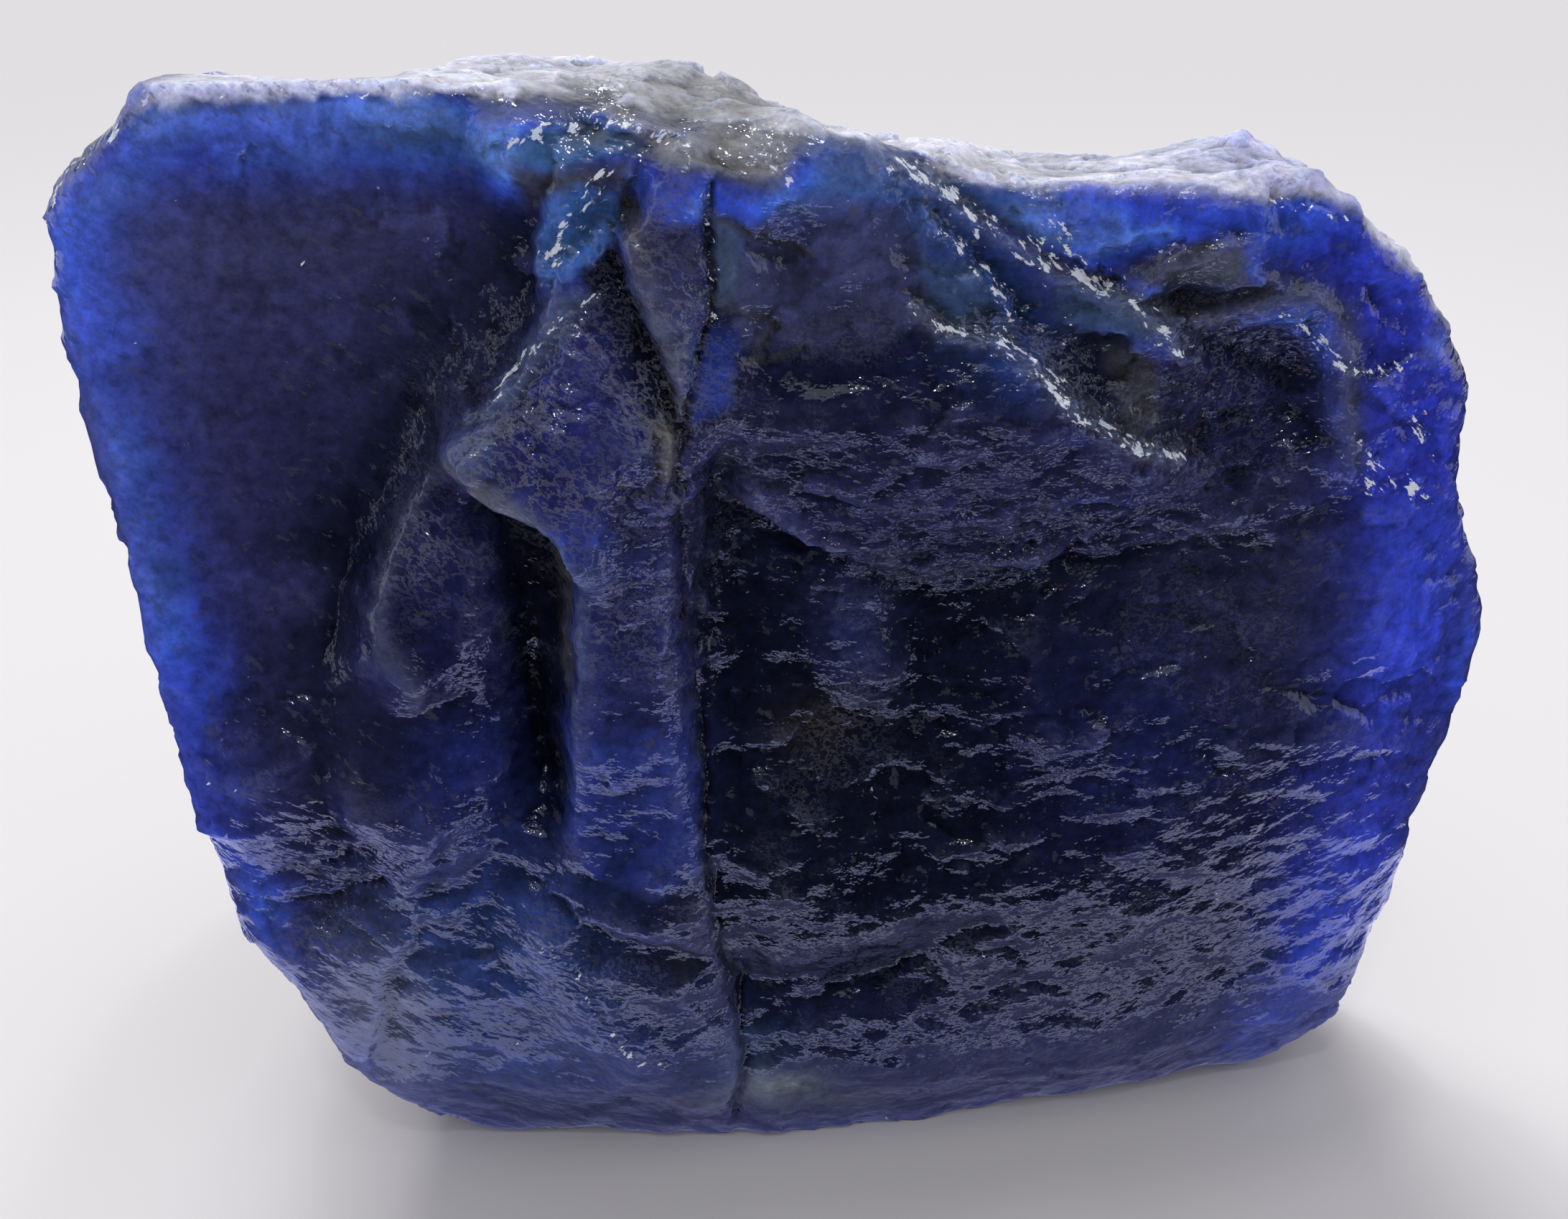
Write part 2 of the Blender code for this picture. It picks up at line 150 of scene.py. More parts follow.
ARCH = [(50, 120.5), (54, 121.5), (57, 123.2), (62, 123.5), (66, 121), (68, 116), (68.5, 110), (70, 104)]
LIP = [(-27, 141.5), (-22, 142.5), (-18, 143.5), (-15, 143), (-11, 142)]
LEFT_MASS_EDGE = [(-42, 56), (-45, 46), (-50, 35), (-53, 24)]
FOOT_CREASE = [(-29, 50), (-24, 46), (-20, 44), (-14, 41), (-9, 38)]
LOW_CREASE = [(-4, 24), (6, 27), (15, 30), (24, 36), (29, 39)]
SIDE_CREASE = [(-61, 47), (-56, 47), (-52, 50), (-49, 51)]
FRACTURES = [
    [(-5, 134), (-1, 132), (0, 131.5), (5, 129.5)],
    [(-6, 125), (-3, 124), (-1, 123.5), (1, 122)],
    [(1, 122), (-2, 118), (4.5, 119)],
]
RIGHT_FOLDS = [
    [(50, 119), (51, 112), (49, 104)],
    [(54.5, 114), (53.5, 106), (55, 99)],
    [(59, 112), (60, 104), (59, 96)],
    [(45, 114), (45.5, 108)],
]

# (line, height, radius)
FINE_RIDGES = [
    (EAR, 0.8, 1.5),
    (SHOULDER, 0.6, 1.6),
    (PEAK, 0.7, 1.0),
    (ARCH, 0.7, 1.4),
    (LIP, 0.6, 1.5),
    (TERRACE_HIGH, 0.6, 1.0),
    (TERRACE_LOW, 0.6, 1.0),
    ([(26, 34), (32, 36.5), (40, 36), (48, 35)], 1.3, 3.0),
] + [(line, 0.45, 1.0) for line in RIGHT_FOLDS]
FINE_GROOVES = [
    (CRACK, 1.1, 0.6),
    (SIDE_CREASE, 1.0, 0.8),
    (FOOT_CREASE, 0.7, 0.9),
    (LOW_CREASE, 0.5, 1.2),
    ([(63, 73), (72, 70), (85, 65)], 0.6, 0.8),
    ([(33, 134), (34, 130)], 0.6, 0.7),
    ([(56, 136), (57, 131)], 0.5, 0.8),
] + [(line, 0.5, 0.55) for line in FRACTURES]
# (line, height gained on the left of the walk, half width of the slope, reach)
FINE_STEPS = [
    (TERRACE_HIGH, -1.4, 0.7, 6.0),
    (TERRACE_MIDDLE, -1.0, 0.6, 5.0),
    (TERRACE_LOW, -1.5, 0.7, 6.0),
    (PEAK, -1.8, 0.7, 5.0),
    (PEAK_FOOT, 1.4, 0.6, 4.0),
    (ARCH, -1.2, 0.8, 6.0),
    (LIP, 1.6, 0.8, 5.0),
    ([(-22.5, 137), (-24.2, 131), (-24.2, 127)], 1.8, 0.7, 6.0),
    ([(-24.5, 127.3), (-20, 128), (-17.5, 130)], 1.5, 0.6, 4.0),
    ([(-14.5, 137), (-17, 131), (-17.5, 129.5)], -1.5, 0.7, 5.0),
    (SHOULDER, 1.5, 0.8, 6.0),
    (RECESS, -1.8, 0.7, 3.5),
    (RECESS_EDGE, 1.8, 0.7, 4.0),
    (CRACK, -0.7, 0.4, 10.0),
    (PILLAR_EDGE, 1.2, 0.6, 5.0),
    (GULLY_EDGE, -1.4, 1.2, 5.0),
    (OVERHANG, 1.6, 0.7, 6.0),
    (BROW_EDGE, 0.9, 0.8, 6.0),
    (LEFT_MASS_EDGE, -0.9, 1.2, 8.0),
    (FOOT_CREASE, 1.0, 0.8, 6.0),
]

# The edge between the front and the top: (x, z)
TOP_EDGE = [
    (-76, 134), (-73.6, 138), (-68, 142.4), (-62, 146), (-39, 146.6), (-27, 146), (-17, 146), (-10, 143.5),
    (4, 142.5), (14, 141), (20, 137.3), (23, 136), (30, 135.6), (37, 137.5), (44, 137.3), (49.5, 135.6),
    (56, 134), (63.5, 134.3), (67, 131.3), (72.3, 128.6), (77, 124), (83, 113.5),
]
# How far the top's far edge is moved in z along x, and the left side in x along z
TOP_TRIM = [
    (-78, -1.6), (-74, -1.7), (-67.5, -1.5), (-64.5, -0.4), (-61, -1.6), (-54, -2.8), (-49, -3.6),
    (-43, -2.8), (-38, -1.0), (-33, 0.0), (-20, 0.0), (-14, -0.5), (-5, -1.9), (2, -2.9), (8, -3.5),
    (12.5, -1.8), (20, 0.6), (30, 0.9), (40, -0.6), (47, -0.4), (53, 0.7), (60, 2.2), (63, 1.0),
    (65, -1.2), (69, -2.2), (74, -1.4),
]
LEFT_TRIM = [
    (20, 0.5), (30, 1.2), (42, 1.4), (52, 1.8), (62, 2.2), (84, 1.5), (95, 0.5), (104, 0.0), (118, -0.8),
    (128, 0.2), (136, 0.4),
]
# Where these set in: behind the front, at the ends, just under the top's edge, and on the left
TRIM_DEPTH = (-38.0, -25.0)
TRIM_ENDS = (62.5, 68.0)
TRIM_RISE = (-9.0, -1.5)
TRIM_LEFT = (-50.0, -62.0)

# Flat leaning faces: x range, lower edge (x, z), upper edge (x, z), depth at the upper edge (x, y),
# slope, share
FACES = [
    (
        (-8.5, 48.0),
        [(-9, 103), (-2, 98), (5, 92.6), (13, 89.6), (21, 87.7), (28, 88.2), (36, 90), (43, 95.6), (48, 99)],
        [(-8, 114), (4, 112), (14, 111), (24, 112), (36, 110), (46, 107)],
        [(-8, -42), (-4, -42), (12, -40), (28, -39.5), (40, -36.5), (48, -34.5)],
        0.4, 0.9,
    ),
    (
        (-76.0, -49.0),
        [(-72, 58), (-48, 58)],
        [(-72, 94), (-48, 90)],
        [(-76, -40), (-66, -39.5), (-52, -38)],
        -0.17, 0.7,
    ),
]
# How wide a flat face fades at its left, right and foot, and over and under its upper edge
FACE_LEFT = 8.0
FACE_RIGHT = 6.0
FACE_FOOT = 1.6
FACE_OVER = 5.0
FACE_UNDER = 3.0
# Where the face leans out over the floor: ((x, z), (radius x, radius z), slope)
LEANS = [
    ((-56, 60), (11, 12), 0.26),
    ((-30, 112), (7, 6), 0.25),
    ((42, 66), (20, 16), 0.28),
    ((66, 60), (12, 20), 0.16),
    ((6, 76), (8, 12), 0.2),
    ((-17, 66), (6, 16), 0.12),
    ((20, 42), (30, 10), -0.1),
    ((30, 22), (50, 12), -0.38),
    ((-36, 24), (20, 10), -0.15),
]
# Where the ripples of the broken face are strong: ((x, z), (radius x, radius z), strength)
RIPPLE_PLAIN = 0.45
RIPPLE_ELSEWHERE = 0.8
RIPPLE_AREAS = [
    ((22, 98), (36, 10), 0.6),
    ((18, 90), (32, 5), 0.5),
    ((-54, 50), (22, 14), 0.4),
    ((-50, 26), (20, 12), -0.15),
    ((-17, 84), (6, 30), -0.1),
    ((-28, 116), (10, 10), 0.3),
    ((40, 66), (36, 14), 0.3),
    ((30, 24), (60, 10), -0.05),
    ((-62, 112), (20, 26), -0.3),
    ((42, 120), (28, 14), 0.5),
    ((66, 112), (14, 14), 0.3),
]
# Where tiny facets glitter, with painted glints laid on them: (line, radius, strength)
GLITTER_LINES = [
    (TERRACE_HIGH, 1.6, 1.0),
    ([(30, 134), (34, 128), (40, 124)], 2.2, 0.8),
    (TERRACE_MIDDLE, 1.3, 1.0),
    (TERRACE_LOW, 1.3, 1.0),
    (LIP, 1.1, 1.0),
    ([(-17, 138), (-20, 134), (-23, 130)], 1.6, 1.0),
    ([(-17, 126.5), (-21, 123.5), (-26, 119), (-30, 115)], 1.2, 0.8),
    ([(58, 121), (62, 120), (65, 117), (67, 114.5), (72, 114), (76, 114.5)], 1.1, 0.9),
    ([(70, 106), (73, 102), (71, 99), (77, 100), (81, 98)], 1.8, 0.8),
    ([(77, 109), (79, 105)], 1.8, 0.8),
    ([(0, 143), (-3, 144)], 1.5, 0.9),
    (TOP_EDGE[:4], 1.3, 0.9),
    ([(-62, 146.3), (-39, 146.6), (-27, 146)], 0.7, 0.6),
    (
        [(14, 141), (20, 138), (30, 136.3), (44, 137.3), (56, 134), (67, 131.3), (77, 124), (83, 113.5)],
        0.8, 0.6,
    ),
    ([(0.5, 140), (3, 138)], 1.3, 1.0),
    ([(-30, 42), (-26, 40), (-24, 34), (-21, 29), (-18, 23), (-12, 21)], 1.2, 0.7),
    ([(-6, 137), (-6, 133), (-5.5, 127), (-6, 122)], 0.7, 0.8),
]

# Light inside the stone, painted into its colour as a glow that is brightest at thin edges. Ray rings: (tilt
# from straight in, in radians, rays in the ring)
RAY_LIFT = 2.0
RAY_RINGS = [(0.25, 3), (0.85, 6), (1.25, 6)]
LIGHT_REACH = 10.0
FAR = 1000.0
SKY_FLOOR = 0.25
SKY_RANGE = (-0.5, 0.4)
SKY_LEAN = 0.35
UPRIGHT = 0.9
GLOW_ROUNDS = 10
GLOW_GAIN = 5.0
CALM_ROUNDS = 24
CLOUD_GLOW = 0.25
TONE_GAIN = 1.3
TONE_MOST = 0.9
# Painted shade in hollows and painted highlight on ridges: gain on the bulge, and its limits
CAVITY_SHADE_GAIN = 0.9
CAVITY_SHADE_RANGE = (0.35, 1.5)
# Colours of the painted glow, from near black deep inside to bright blue at a thin edge: (glow, colour)
PAINTED_GLOW_COLOURS = [
    (0.00, (0.005, 0.006, 0.018)),
    (0.12, (0.011, 0.013, 0.042)),
    (0.28, (0.02, 0.024, 0.105)),
    (0.45, (0.024, 0.036, 0.21)),
    (0.65, (0.032, 0.078, 0.48)),
    (0.82, (0.06, 0.165, 0.62)),
    (1.00, (0.15, 0.3, 0.7)),
]
TEAL = (0.045, 0.095, 0.24)
ROYAL = (0.024, 0.042, 0.32)
NAVY = (0.012, 0.018, 0.11)
NIGHT = (0.005, 0.006, 0.017)
SLATE = (0.065, 0.07, 0.085)
DUSK = (0.035, 0.04, 0.07)
BEIGE = (0.13, 0.15, 0.15)
OLIVE = (0.085, 0.08, 0.06)
BROWN = (0.02, 0.016, 0.014)
# Soft patches of the front's own tones, of painted glow at thin edges, of painted shade and of a painted
# reflection: ((x, z), (radius x, radius z), colour, strength)
FRONT_TONE_AND_PAINTED_LIGHT_PATCHES = [
    ((-60, 127), (24, 25), (0.054, 0.059, 0.175), 0.8),
    ((-56, 100), (18, 20), (0.032, 0.035, 0.12), 0.8),
    ((-39, 108), (6, 14), NIGHT, 0.6),
    ((-47, 92), (7, 14), NIGHT, 0.8),
    # Near black in the thick middle; the patch at (24, 84) is painted shade in the hollow under the brow
    ((16, 60), (20, 14), NIGHT, 0.7),
    ((24, 84), (20, 9), NIGHT, 0.8),
    ((2, 54), (9, 14), NIGHT, 0.6),
    ((6, 26), (12, 8), NIGHT, 0.5),
    ((20, 38), (14, 6), NIGHT, 0.6),
    ((22, 106), (14, 6), NIGHT, 0.5),
    ((20, 99), (30, 9), (0.02, 0.023, 0.08), 0.7),
    # Painted glow where light passes through the thin left edge: bright blue
    ((-75, 130), (7, 12), (0.044, 0.105, 0.56), 0.7),
    ((-74, 96), (4, 14), (0.05, 0.08, 0.3), 0.7),
    ((-70, 70), (5, 16), (0.034, 0.058, 0.36), 0.6),
    ((60, 88), (14, 18), (0.024, 0.028, 0.08), 0.7),
    ((54, 106), (9, 14), (0.014, 0.016, 0.06), 0.8),
    # Painted glow along the thin top-left edge
    ((-52, 142), (20, 4), (0.028, 0.055, 0.38), 0.7),
    ((-50, 132), (16, 7), (0.04, 0.044, 0.11), 0.8),
    ((-33, 143), (9, 4), TEAL, 0.7),
    ((10, 138), (7, 4), TEAL, 0.8),
    ((20, 133), (6, 4), TEAL, 0.6),
    ((25, 125), (5, 7), (0.02, 0.055, 0.2), 0.8),
    ((29, 117), (4, 4), (0.02, 0.05, 0.24), 0.7),
    ((40, 121.5), (6, 2.6), TEAL, 0.7),
    # Painted glow where light passes through the thin top-right and right edges: royal to bright blue
    ((36, 133), (7, 5), ROYAL, 0.8),
    ((50, 133), (9, 5), ROYAL, 0.6),
    ((64, 131), (10, 6), (0.024, 0.06, 0.34), 0.7),
    ((72, 122), (7, 9), (0.024, 0.034, 0.36), 0.8),
    ((77, 104), (6, 12), (0.028, 0.046, 0.46), 0.8),
    ((82, 80), (8, 20), (0.04, 0.068, 0.54), 0.9),
    ((80, 46), (10, 18), (0.032, 0.05, 0.4), 0.85),
    ((-17, 88), (6, 16), (0.017, 0.022, 0.09), 0.9),
    # Painted glow in the lower pillar and the lower left: mid blue
    ((-16, 66), (7, 12), (0.018, 0.032, 0.15), 0.9),
    ((-35, 48), (9, 14), (0.02, 0.032, 0.15), 0.9),
    ((-37, 68), (6, 7), (0.016, 0.026, 0.16), 0.7),
    ((-38, 92), (5, 11), NAVY, 0.7),
    ((-20, 117), (5, 5), (0.016, 0.022, 0.2), 0.8),
    ((-33, 104), (6, 5), (0.024, 0.029, 0.08), 0.9),
    ((-31.5, 109), (4.5, 4), (0.022, 0.027, 0.07), 0.9),
    # Painted glow in the lower-left mass
    ((-37, 38), (14, 12), (0.028, 0.06, 0.2), 0.8),
    ((-3, 20), (6, 4), (0.04, 0.09, 0.17), 0.8),
    ((-10, 129), (3, 6), (0.018, 0.02, 0.13), 0.7),
    ((10, 122), (13, 9), (0.012, 0.018, 0.085), 0.4),
    ((9, 132), (5, 3), (0.03, 0.034, 0.08), 0.6),
    ((11, 81), (5, 6), (0.018, 0.026, 0.1), 0.7),
    ((6, 69), (4, 4), BROWN, 0.7),
    ((-11, 38), (3, 3), BROWN, 0.7),
    # Painted glow low on the left
    ((-30, 22), (20, 11), (0.024, 0.048, 0.2), 0.9),
    ((30, 18), (50, 10), (0.01, 0.014, 0.055), 0.9),
    ((-60, 38), (12, 12), (0.032, 0.045, 0.17), 0.7),
    # Painted reflection of the pale floor on the lower-left bevel, which faces down
    ((-53, 28), (8, 13), (0.09, 0.102, 0.165), 0.8),
    ((1, 14), (6, 3), (0.17, 0.2, 0.2), 0.9),
    ((11, 10), (7, 1.6), BEIGE, 0.4),
    ((-8, 11), (6, 1.6), BEIGE, 0.4),
    ((48, 64), (14, 16), (0.012, 0.018, 0.1), 0.6),
    # Painted glow through the thin lower-right corner
    ((77, 32), (6, 12), (0.032, 0.06, 0.43), 0.85),
    ((71, 14), (6, 9), (0.034, 0.06, 0.38), 0.8),
    ((79, 116.5), (1.6, 2.4), (0.2, 0.28, 0.52), 0.9),
]
AREA_EDGE = 0.8
TEAL_ROCK = (0.04, 0.07, 0.15)
GREY_ROCK = (0.045, 0.046, 0.056)
# Areas of the front's own tones, of painted glow at a thin edge and of painted shade in hollows: (outline
# (x, z), colour, strength)
FRONT_TONE_AND_PAINTED_LIGHT_AREAS = [
    ([(5, 137), (14, 134.5), (18, 128), (18, 122), (10, 118), (-3, 120), (-2.5, 133)],
     (0.044, 0.05, 0.12), 0.75),
    ([(4, 142), (15, 141), (20, 138), (27, 136.5), (33, 137), (33, 133), (24, 132), (14, 135), (6, 137)],
     (0.04, 0.075, 0.19), 0.7),
    # Painted glow where light passes through the thin top-right edge: royal blue
    ([(64, 132), (72, 128.5), (77, 124), (83, 113.5), (84, 100), (76, 98), (70, 104), (69, 116),
      (66, 122), (58, 127)],
     (0.024, 0.036, 0.33), 0.7),
    ([(-17, 124), (-14.5, 119), (-12.5, 113), (-14, 106), (-22, 104), (-29, 108), (-26, 114), (-21, 121)],
     (0.013, 0.017, 0.09), 0.85),
    ([(-22.5, 126.5), (-17, 126.5), (-21, 122), (-26.5, 115.5), (-30.5, 110), (-33, 108), (-34.5, 111),
      (-31, 114.2), (-28, 118.2), (-25, 122)],
     (0.05, 0.068, 0.145), 0.9),
    ([(-27, 139.5), (-20, 139), (-13.5, 139.5), (-14, 136.5), (-19, 136.8), (-23, 135.5), (-25.5, 133.5)],
     (0.04, 0.042, 0.048), 0.9),
    ([(-27, 141), (-24, 142.6), (-19, 143.6), (-14, 143.6), (-13, 140.5), (-18, 140), (-23, 139.2),
      (-26, 139.6)],
     (0.05, 0.12, 0.27), 0.95),
    ([(-22.5, 136), (-19, 137.5), (-15, 136), (-16.5, 131.5), (-17.5, 129.7), (-20, 128), (-24, 127),
      (-24.3, 131)],
     (0.036, 0.1, 0.29), 0.95),
    ([(-12.5, 134), (-6.6, 134), (-6.6, 122), (-8.8, 114), (-9.8, 118), (-11.5, 126)],
     (0.026, 0.03, 0.08), 0.9),
    ([(-15, 137), (-12.3, 135), (-11.3, 127), (-9.3, 120), (-8.1, 113), (-10, 112), (-12.8, 121),
      (-14.8, 129.5)],
     (0.046, 0.045, 0.052), 0.9),
    # Painted shade deep in the recess beside the shoulder
    ([(-16.5, 131), (-14.5, 129.5), (-12.5, 122), (-9.8, 114), (-10.2, 109), (-12.5, 112),
      (-15.2, 119), (-18, 125.5), (-19, 128)],
     NIGHT, 0.95),
    ([(-5.6, 134), (-2.5, 133), (-3.3, 124.5), (-5.8, 125)], (0.042, 0.07, 0.13), 0.85),
    ([(-6.3, 122), (-3.3, 121.5), (-4, 113.5), (-8, 112)], (0.02, 0.044, 0.24), 0.85),
    # Painted shade in the hollow between the ear and the gully
    ([(-42, 102), (-36, 104), (-32.5, 100), (-31, 85), (-31, 75), (-36, 72), (-41, 75), (-44, 88)],
     (0.009, 0.011, 0.05), 0.85),
    ([(-22.5, 100), (-10.5, 100), (-9.7, 82), (-23, 82)], (0.016, 0.021, 0.085), 0.8),
    ([(-23, 82), (-9.5, 82), (-9, 73), (-24.5, 73)], (0.015, 0.019, 0.08), 0.8),
    ([(-24.5, 73), (-9, 73), (-8.3, 52), (-14, 49), (-22, 52), (-26, 60)], (0.019, 0.032, 0.16), 0.8),
    # Painted shade in the gully left of the pillar, under the overhang
    ([(-31.5, 104), (-26, 101.5), (-24.8, 97), (-24.6, 80), (-25.2, 68), (-26, 61), (-30, 64), (-31, 80),
      (-32, 95)],
     NIGHT, 0.95),
    ([(-25.3, 101), (-23.2, 100), (-22.8, 86), (-23.2, 78), (-24.6, 76), (-25, 90)],
     (0.06, 0.062, 0.062), 0.8),
    ([(-22.4, 98), (-20.8, 98), (-20.6, 82), (-22.2, 82)], (0.042, 0.062, 0.15), 0.7),
    ([(-36, 108.5), (-33, 109.5), (-28, 106), (-24, 103.5), (-23, 101), (-27, 101.8), (-31, 104.6)],
     (0.058, 0.068, 0.105), 0.9),
    ([(17, 128), (24, 127), (26, 121.5), (21, 120.5), (18, 123)], TEAL_ROCK, 0.8),
    ([(33, 125), (46, 123.5), (47, 120), (38, 119), (33, 121.5)], TEAL_ROCK, 0.8),
    ([(38, 118), (44, 117), (46, 108), (42, 108)], GREY_ROCK, 0.8),
    # Painted shade under the arch
    ([(50, 119), (57, 119.5), (63, 118), (66, 113), (67, 104), (58, 101), (51, 104)],
     (0.01, 0.012, 0.05), 0.85),
    ([(40, 126), (45, 128.6), (50, 130.2), (53, 129.4), (54.5, 125), (46, 124)], GREY_ROCK, 0.95),
    # Painted shade in the crease under the peak
    ([(44, 124.8), (58, 125.4), (58, 122.4), (46, 122)], NIGHT, 0.95),
    ([(44, 122), (52, 122.3), (52, 120.3), (46, 119.8)], GREY_ROCK, 0.8),
    ([(-20, 147), (-3, 147), (4, 143), (2, 137.5), (-5, 139), (-10, 139.8), (-13, 141.5)],
     (0.17, 0.17, 0.17), 0.9),
]
# Lines of the front's own tones, and painted highlights on lit ledges: (line, radius, colour, strength)
FRONT_TONE_AND_PAINTED_LIGHT_LINES = [
    (EAR, 1.4, DUSK, 0.7),
    (OVERHANG, 1.3, (0.095, 0.098, 0.11), 0.85),
    ([(-23.5, 100), (-23, 86), (-23.6, 77)], 0.8, (0.08, 0.085, 0.095), 0.7),
    (ARCH, 2.0, (0.04, 0.045, 0.075), 0.8),
    # Painted highlight on the lit ledges of the terraces
    (TERRACE_HIGH, 1.2, (0.06, 0.07, 0.105), 0.7),
    (TERRACE_LOW, 1.2, (0.06, 0.07, 0.105), 0.7),
    ([(-4.6, 133), (-3.8, 126)], 0.8, (0.06, 0.08, 0.13), 0.6),
    ([(-11.3, 111.5), (-10.7, 106.5)], 1.0, OLIVE, 0.9),
    ([(-20, 143), (-10, 140), (-6, 139.5), (-1, 137.5), (2, 137)], 0.7, SLATE, 0.7),
    (CRACK, 0.5, NIGHT, 0.9),
    (TOP_EDGE, 0.7, (0.01, 0.012, 0.026), 0.7),
] + [(line, 0.4, SLATE, 0.7) for line in FRACTURES]
# The top is painted pale, a painted reflection of the bright room behind and above. It lies where the evened
# surface turns up; at the front it ends at the top's edge
TOP_TURN = (0.4, 0.7)
TOP_HEIGHT = (95.0, 110.0)
SHORE_DEPTH = (-29.0, -33.0)
SHORE_END = (86.0, 82.0)
SHORE_RISE = (-0.5, 0.1)
BEVEL_FADE = (-66.0, -60.0)
BEVEL_BACK = (0.0, 20.0)
TOP_REFLECTION_TONE = (0.5, 0.5, 0.57)
TOP_REFLECTION_SHARE = 0.92
TOP_REFLECTION_CLOUD = 0.4
# ((x, y), (radius x, radius y), colour, strength)
TOP_PATCHES = [
    ((-6, -30), (13, 16), (0.15, 0.15, 0.14), 0.8),
    ((6, 0), (12, 18), (0.24, 0.24, 0.22), 0.5),
    ((-56, 24), (10, 6), (0.2, 0.24, 0.52), 0.5),
    ((60, -8), (12, 14), (0.26, 0.28, 0.55), 0.5),
]
# Edges rubbed dull, which are also painted with a pale sheen where the ridges catch the light, and how dull
# the surface is
RUBBED_AND_LIT_BULGE = (0.25, 0.9)
RUBBED_AND_LIT_ON_TOP = 0.5
RIDGE_SHEEN_TONE = (0.1, 0.11, 0.15)
RIDGE_SHEEN_SHARE = 0.25
RUBBED_DULL = 0.3
TOP_DULL = (0.6, 0.4)
DULL_CLOUD = (-0.6, 0.6)
# The grey skin of the rim
RIM_TONE = (0.035, 0.042, 0.075)
RIM_SHARE = 0.6
# Where fine pale scribbles are painted as reflections off the rough ridges: ((x, z), (radius x, radius z),
# strength)
WEB_PLAIN = -0.15
WEB_RIDGES = 0.35
WEB_BULGE = (0.1, 0.5)
WEB_CLOUD = 0.25
WEB_ELSEWHERE = 0.4
WEB_GAPS = (-1.2, 0.2)
WEB_AREAS = [
    ((-27, 108), (13, 12), 0.7),
    ((-13, 122), (9, 16), 0.7),
    ((-41, 94), (5, 18), 0.25),
    ((-17, 92), (9, 16), 0.55),
    ((0, 100), (7, 7), 0.4),
    ((9, 121), (9, 6), 0.4),
    ((54, 115), (14, 11), 0.5),
    ((58, 90), (18, 24), 0.2),
    ((-62, 34), (16, 20), 0.6),
    ((-20, 30), (18, 16), 0.4),
    ((42, 26), (44, 16), 0.35),
    ((8, 68), (8, 8), 0.4),
    ((60, 50), (20, 24), 0.2),
]
WEB_LEVEL = 0.5
WEB_WIDTH = (0.018, 0.042)
WEB_SHEEN_COLOUR = (0.15, 0.155, 0.215)

# Material. Noises: (scale per metre, detail, roughness); depths in metres
GRAIN_NOISE = (560.0, 4.0, 0.75)
DUST_NOISE = (420.0, 4.0, 0.7)
GLINT_NOISE = (720.0, 3.0, 0.65)
SWELL_NOISE = (110.0, 2.0, 0.5)
WAVE_NOISE = (195.0, 4.0, 0.5)
CRUMB_NOISE = (900.0, 0.0, 0.5)
SWELL_DEPTH = 0.0018
WAVE_DEPTH = 0.0022
GLITTER_DEPTH = 0.001
GRAIN_DEPTH = 0.00004
GRAIN_RANGE = (0.3, 0.7)
GRAIN_TONE = (0.6, 1.4)
# The ripples sag towards the middle like a smile: middle x in metres, bend per metre
SAG_MIDDLE = 0.015
SAG_BEND = 3.5
RIPPLE_STRETCH = (1.0, 1.0, 1.35)
FLECK_RANGE = (0.6, 0.635)
FLECK_SHARE = (0.0, 0.45)
FLECK_COLOUR = (0.085, 0.09, 0.125)
# The glints are painted into the base colour as slanted streaks, mirrored about an upright line at the
# middle x, in metres
GLINT_MIDDLE = (-0.018, 0.0, 0.0)
GLINT_TURN = -45.0
GLINT_STRETCH = (0.6, 1.0, 1.5)
GLINT_LIFT = 0.215
GLINT_RANGE = (0.735, 0.77)
GLINT_COLOUR = (0.8, 0.84, 0.92)
WHOLE = (0.0, 1.0)
# Places of the colours among the mix node's sockets
MIX_BASE = 6
MIX_OVER = 7
MIX_RESULT = 2
ROUGHNESS = (0.03, 0.6)
REFRACTION = 1.77
SHINE_TINT = (0.8, 0.85, 1.0)
SCATTER_REACH = 0.0045
SCATTER_SHARES = (0.15, 0.3, 1.0)
MATT_ROUGHNESS = 0.8

# Stage, in mm
FLOOR_HALF = 3000.0
FLOOR_COLOUR = (0.73, 0.71, 0.72)
CARD_COLOUR = (0.01, 0.01, 0.012)
CARD_SIDES = 64
APRON_INNER = (130.0, 86.0)
APRON_OUTER = (900.0, 900.0)
APRON_LIFT = 0.6
PAPER_GLOW = (1.04, 1.06, 1.54)
PAPER_INNER = (101.0, 65.0)
SHADED_GLOW = (0.2, 0.21, 0.42)
SHADED_INNER = (60.0, 28.0)
WALL_RADIUS = 700.0
WALL_HEIGHT = 900.0
WALL_TURN = (-160.0, -20.0)
ROOM_COLOUR = (0.9, 0.9, 0.93)
ROOM_STRENGTH = 0.65
LAMP_AIM = (0.0, 0.0, 80.0)
SUN_PLACE = (-220.0, 600.0, 800.0)
SUN_STRENGTH = 1.9
SUN_SPREAD = 38.0
# (name, place, size, power)
LAMPS = [
    ("glint_back", (-160.0, 420.0, 620.0), (60.0, 60.0), 0.5),
    ("glint_top", (60.0, 40.0, 760.0), (70.0, 70.0), 0.5),
    ("glint_front", (-60.0, -380.0, 700.0), (45.0, 45.0), 0.3),
]


def smooth(value):
    """Ease from 0 to 1 as the value does."""
    value = np.clip(value, 0.0, 1.0)
    return value * value * (3.0 - 2.0 * value)


def between(value, limits):
    """Ease from 0 at the first limit to 1 at the second."""
    return smooth((value - limits[0]) / (limits[1] - limits[0]))


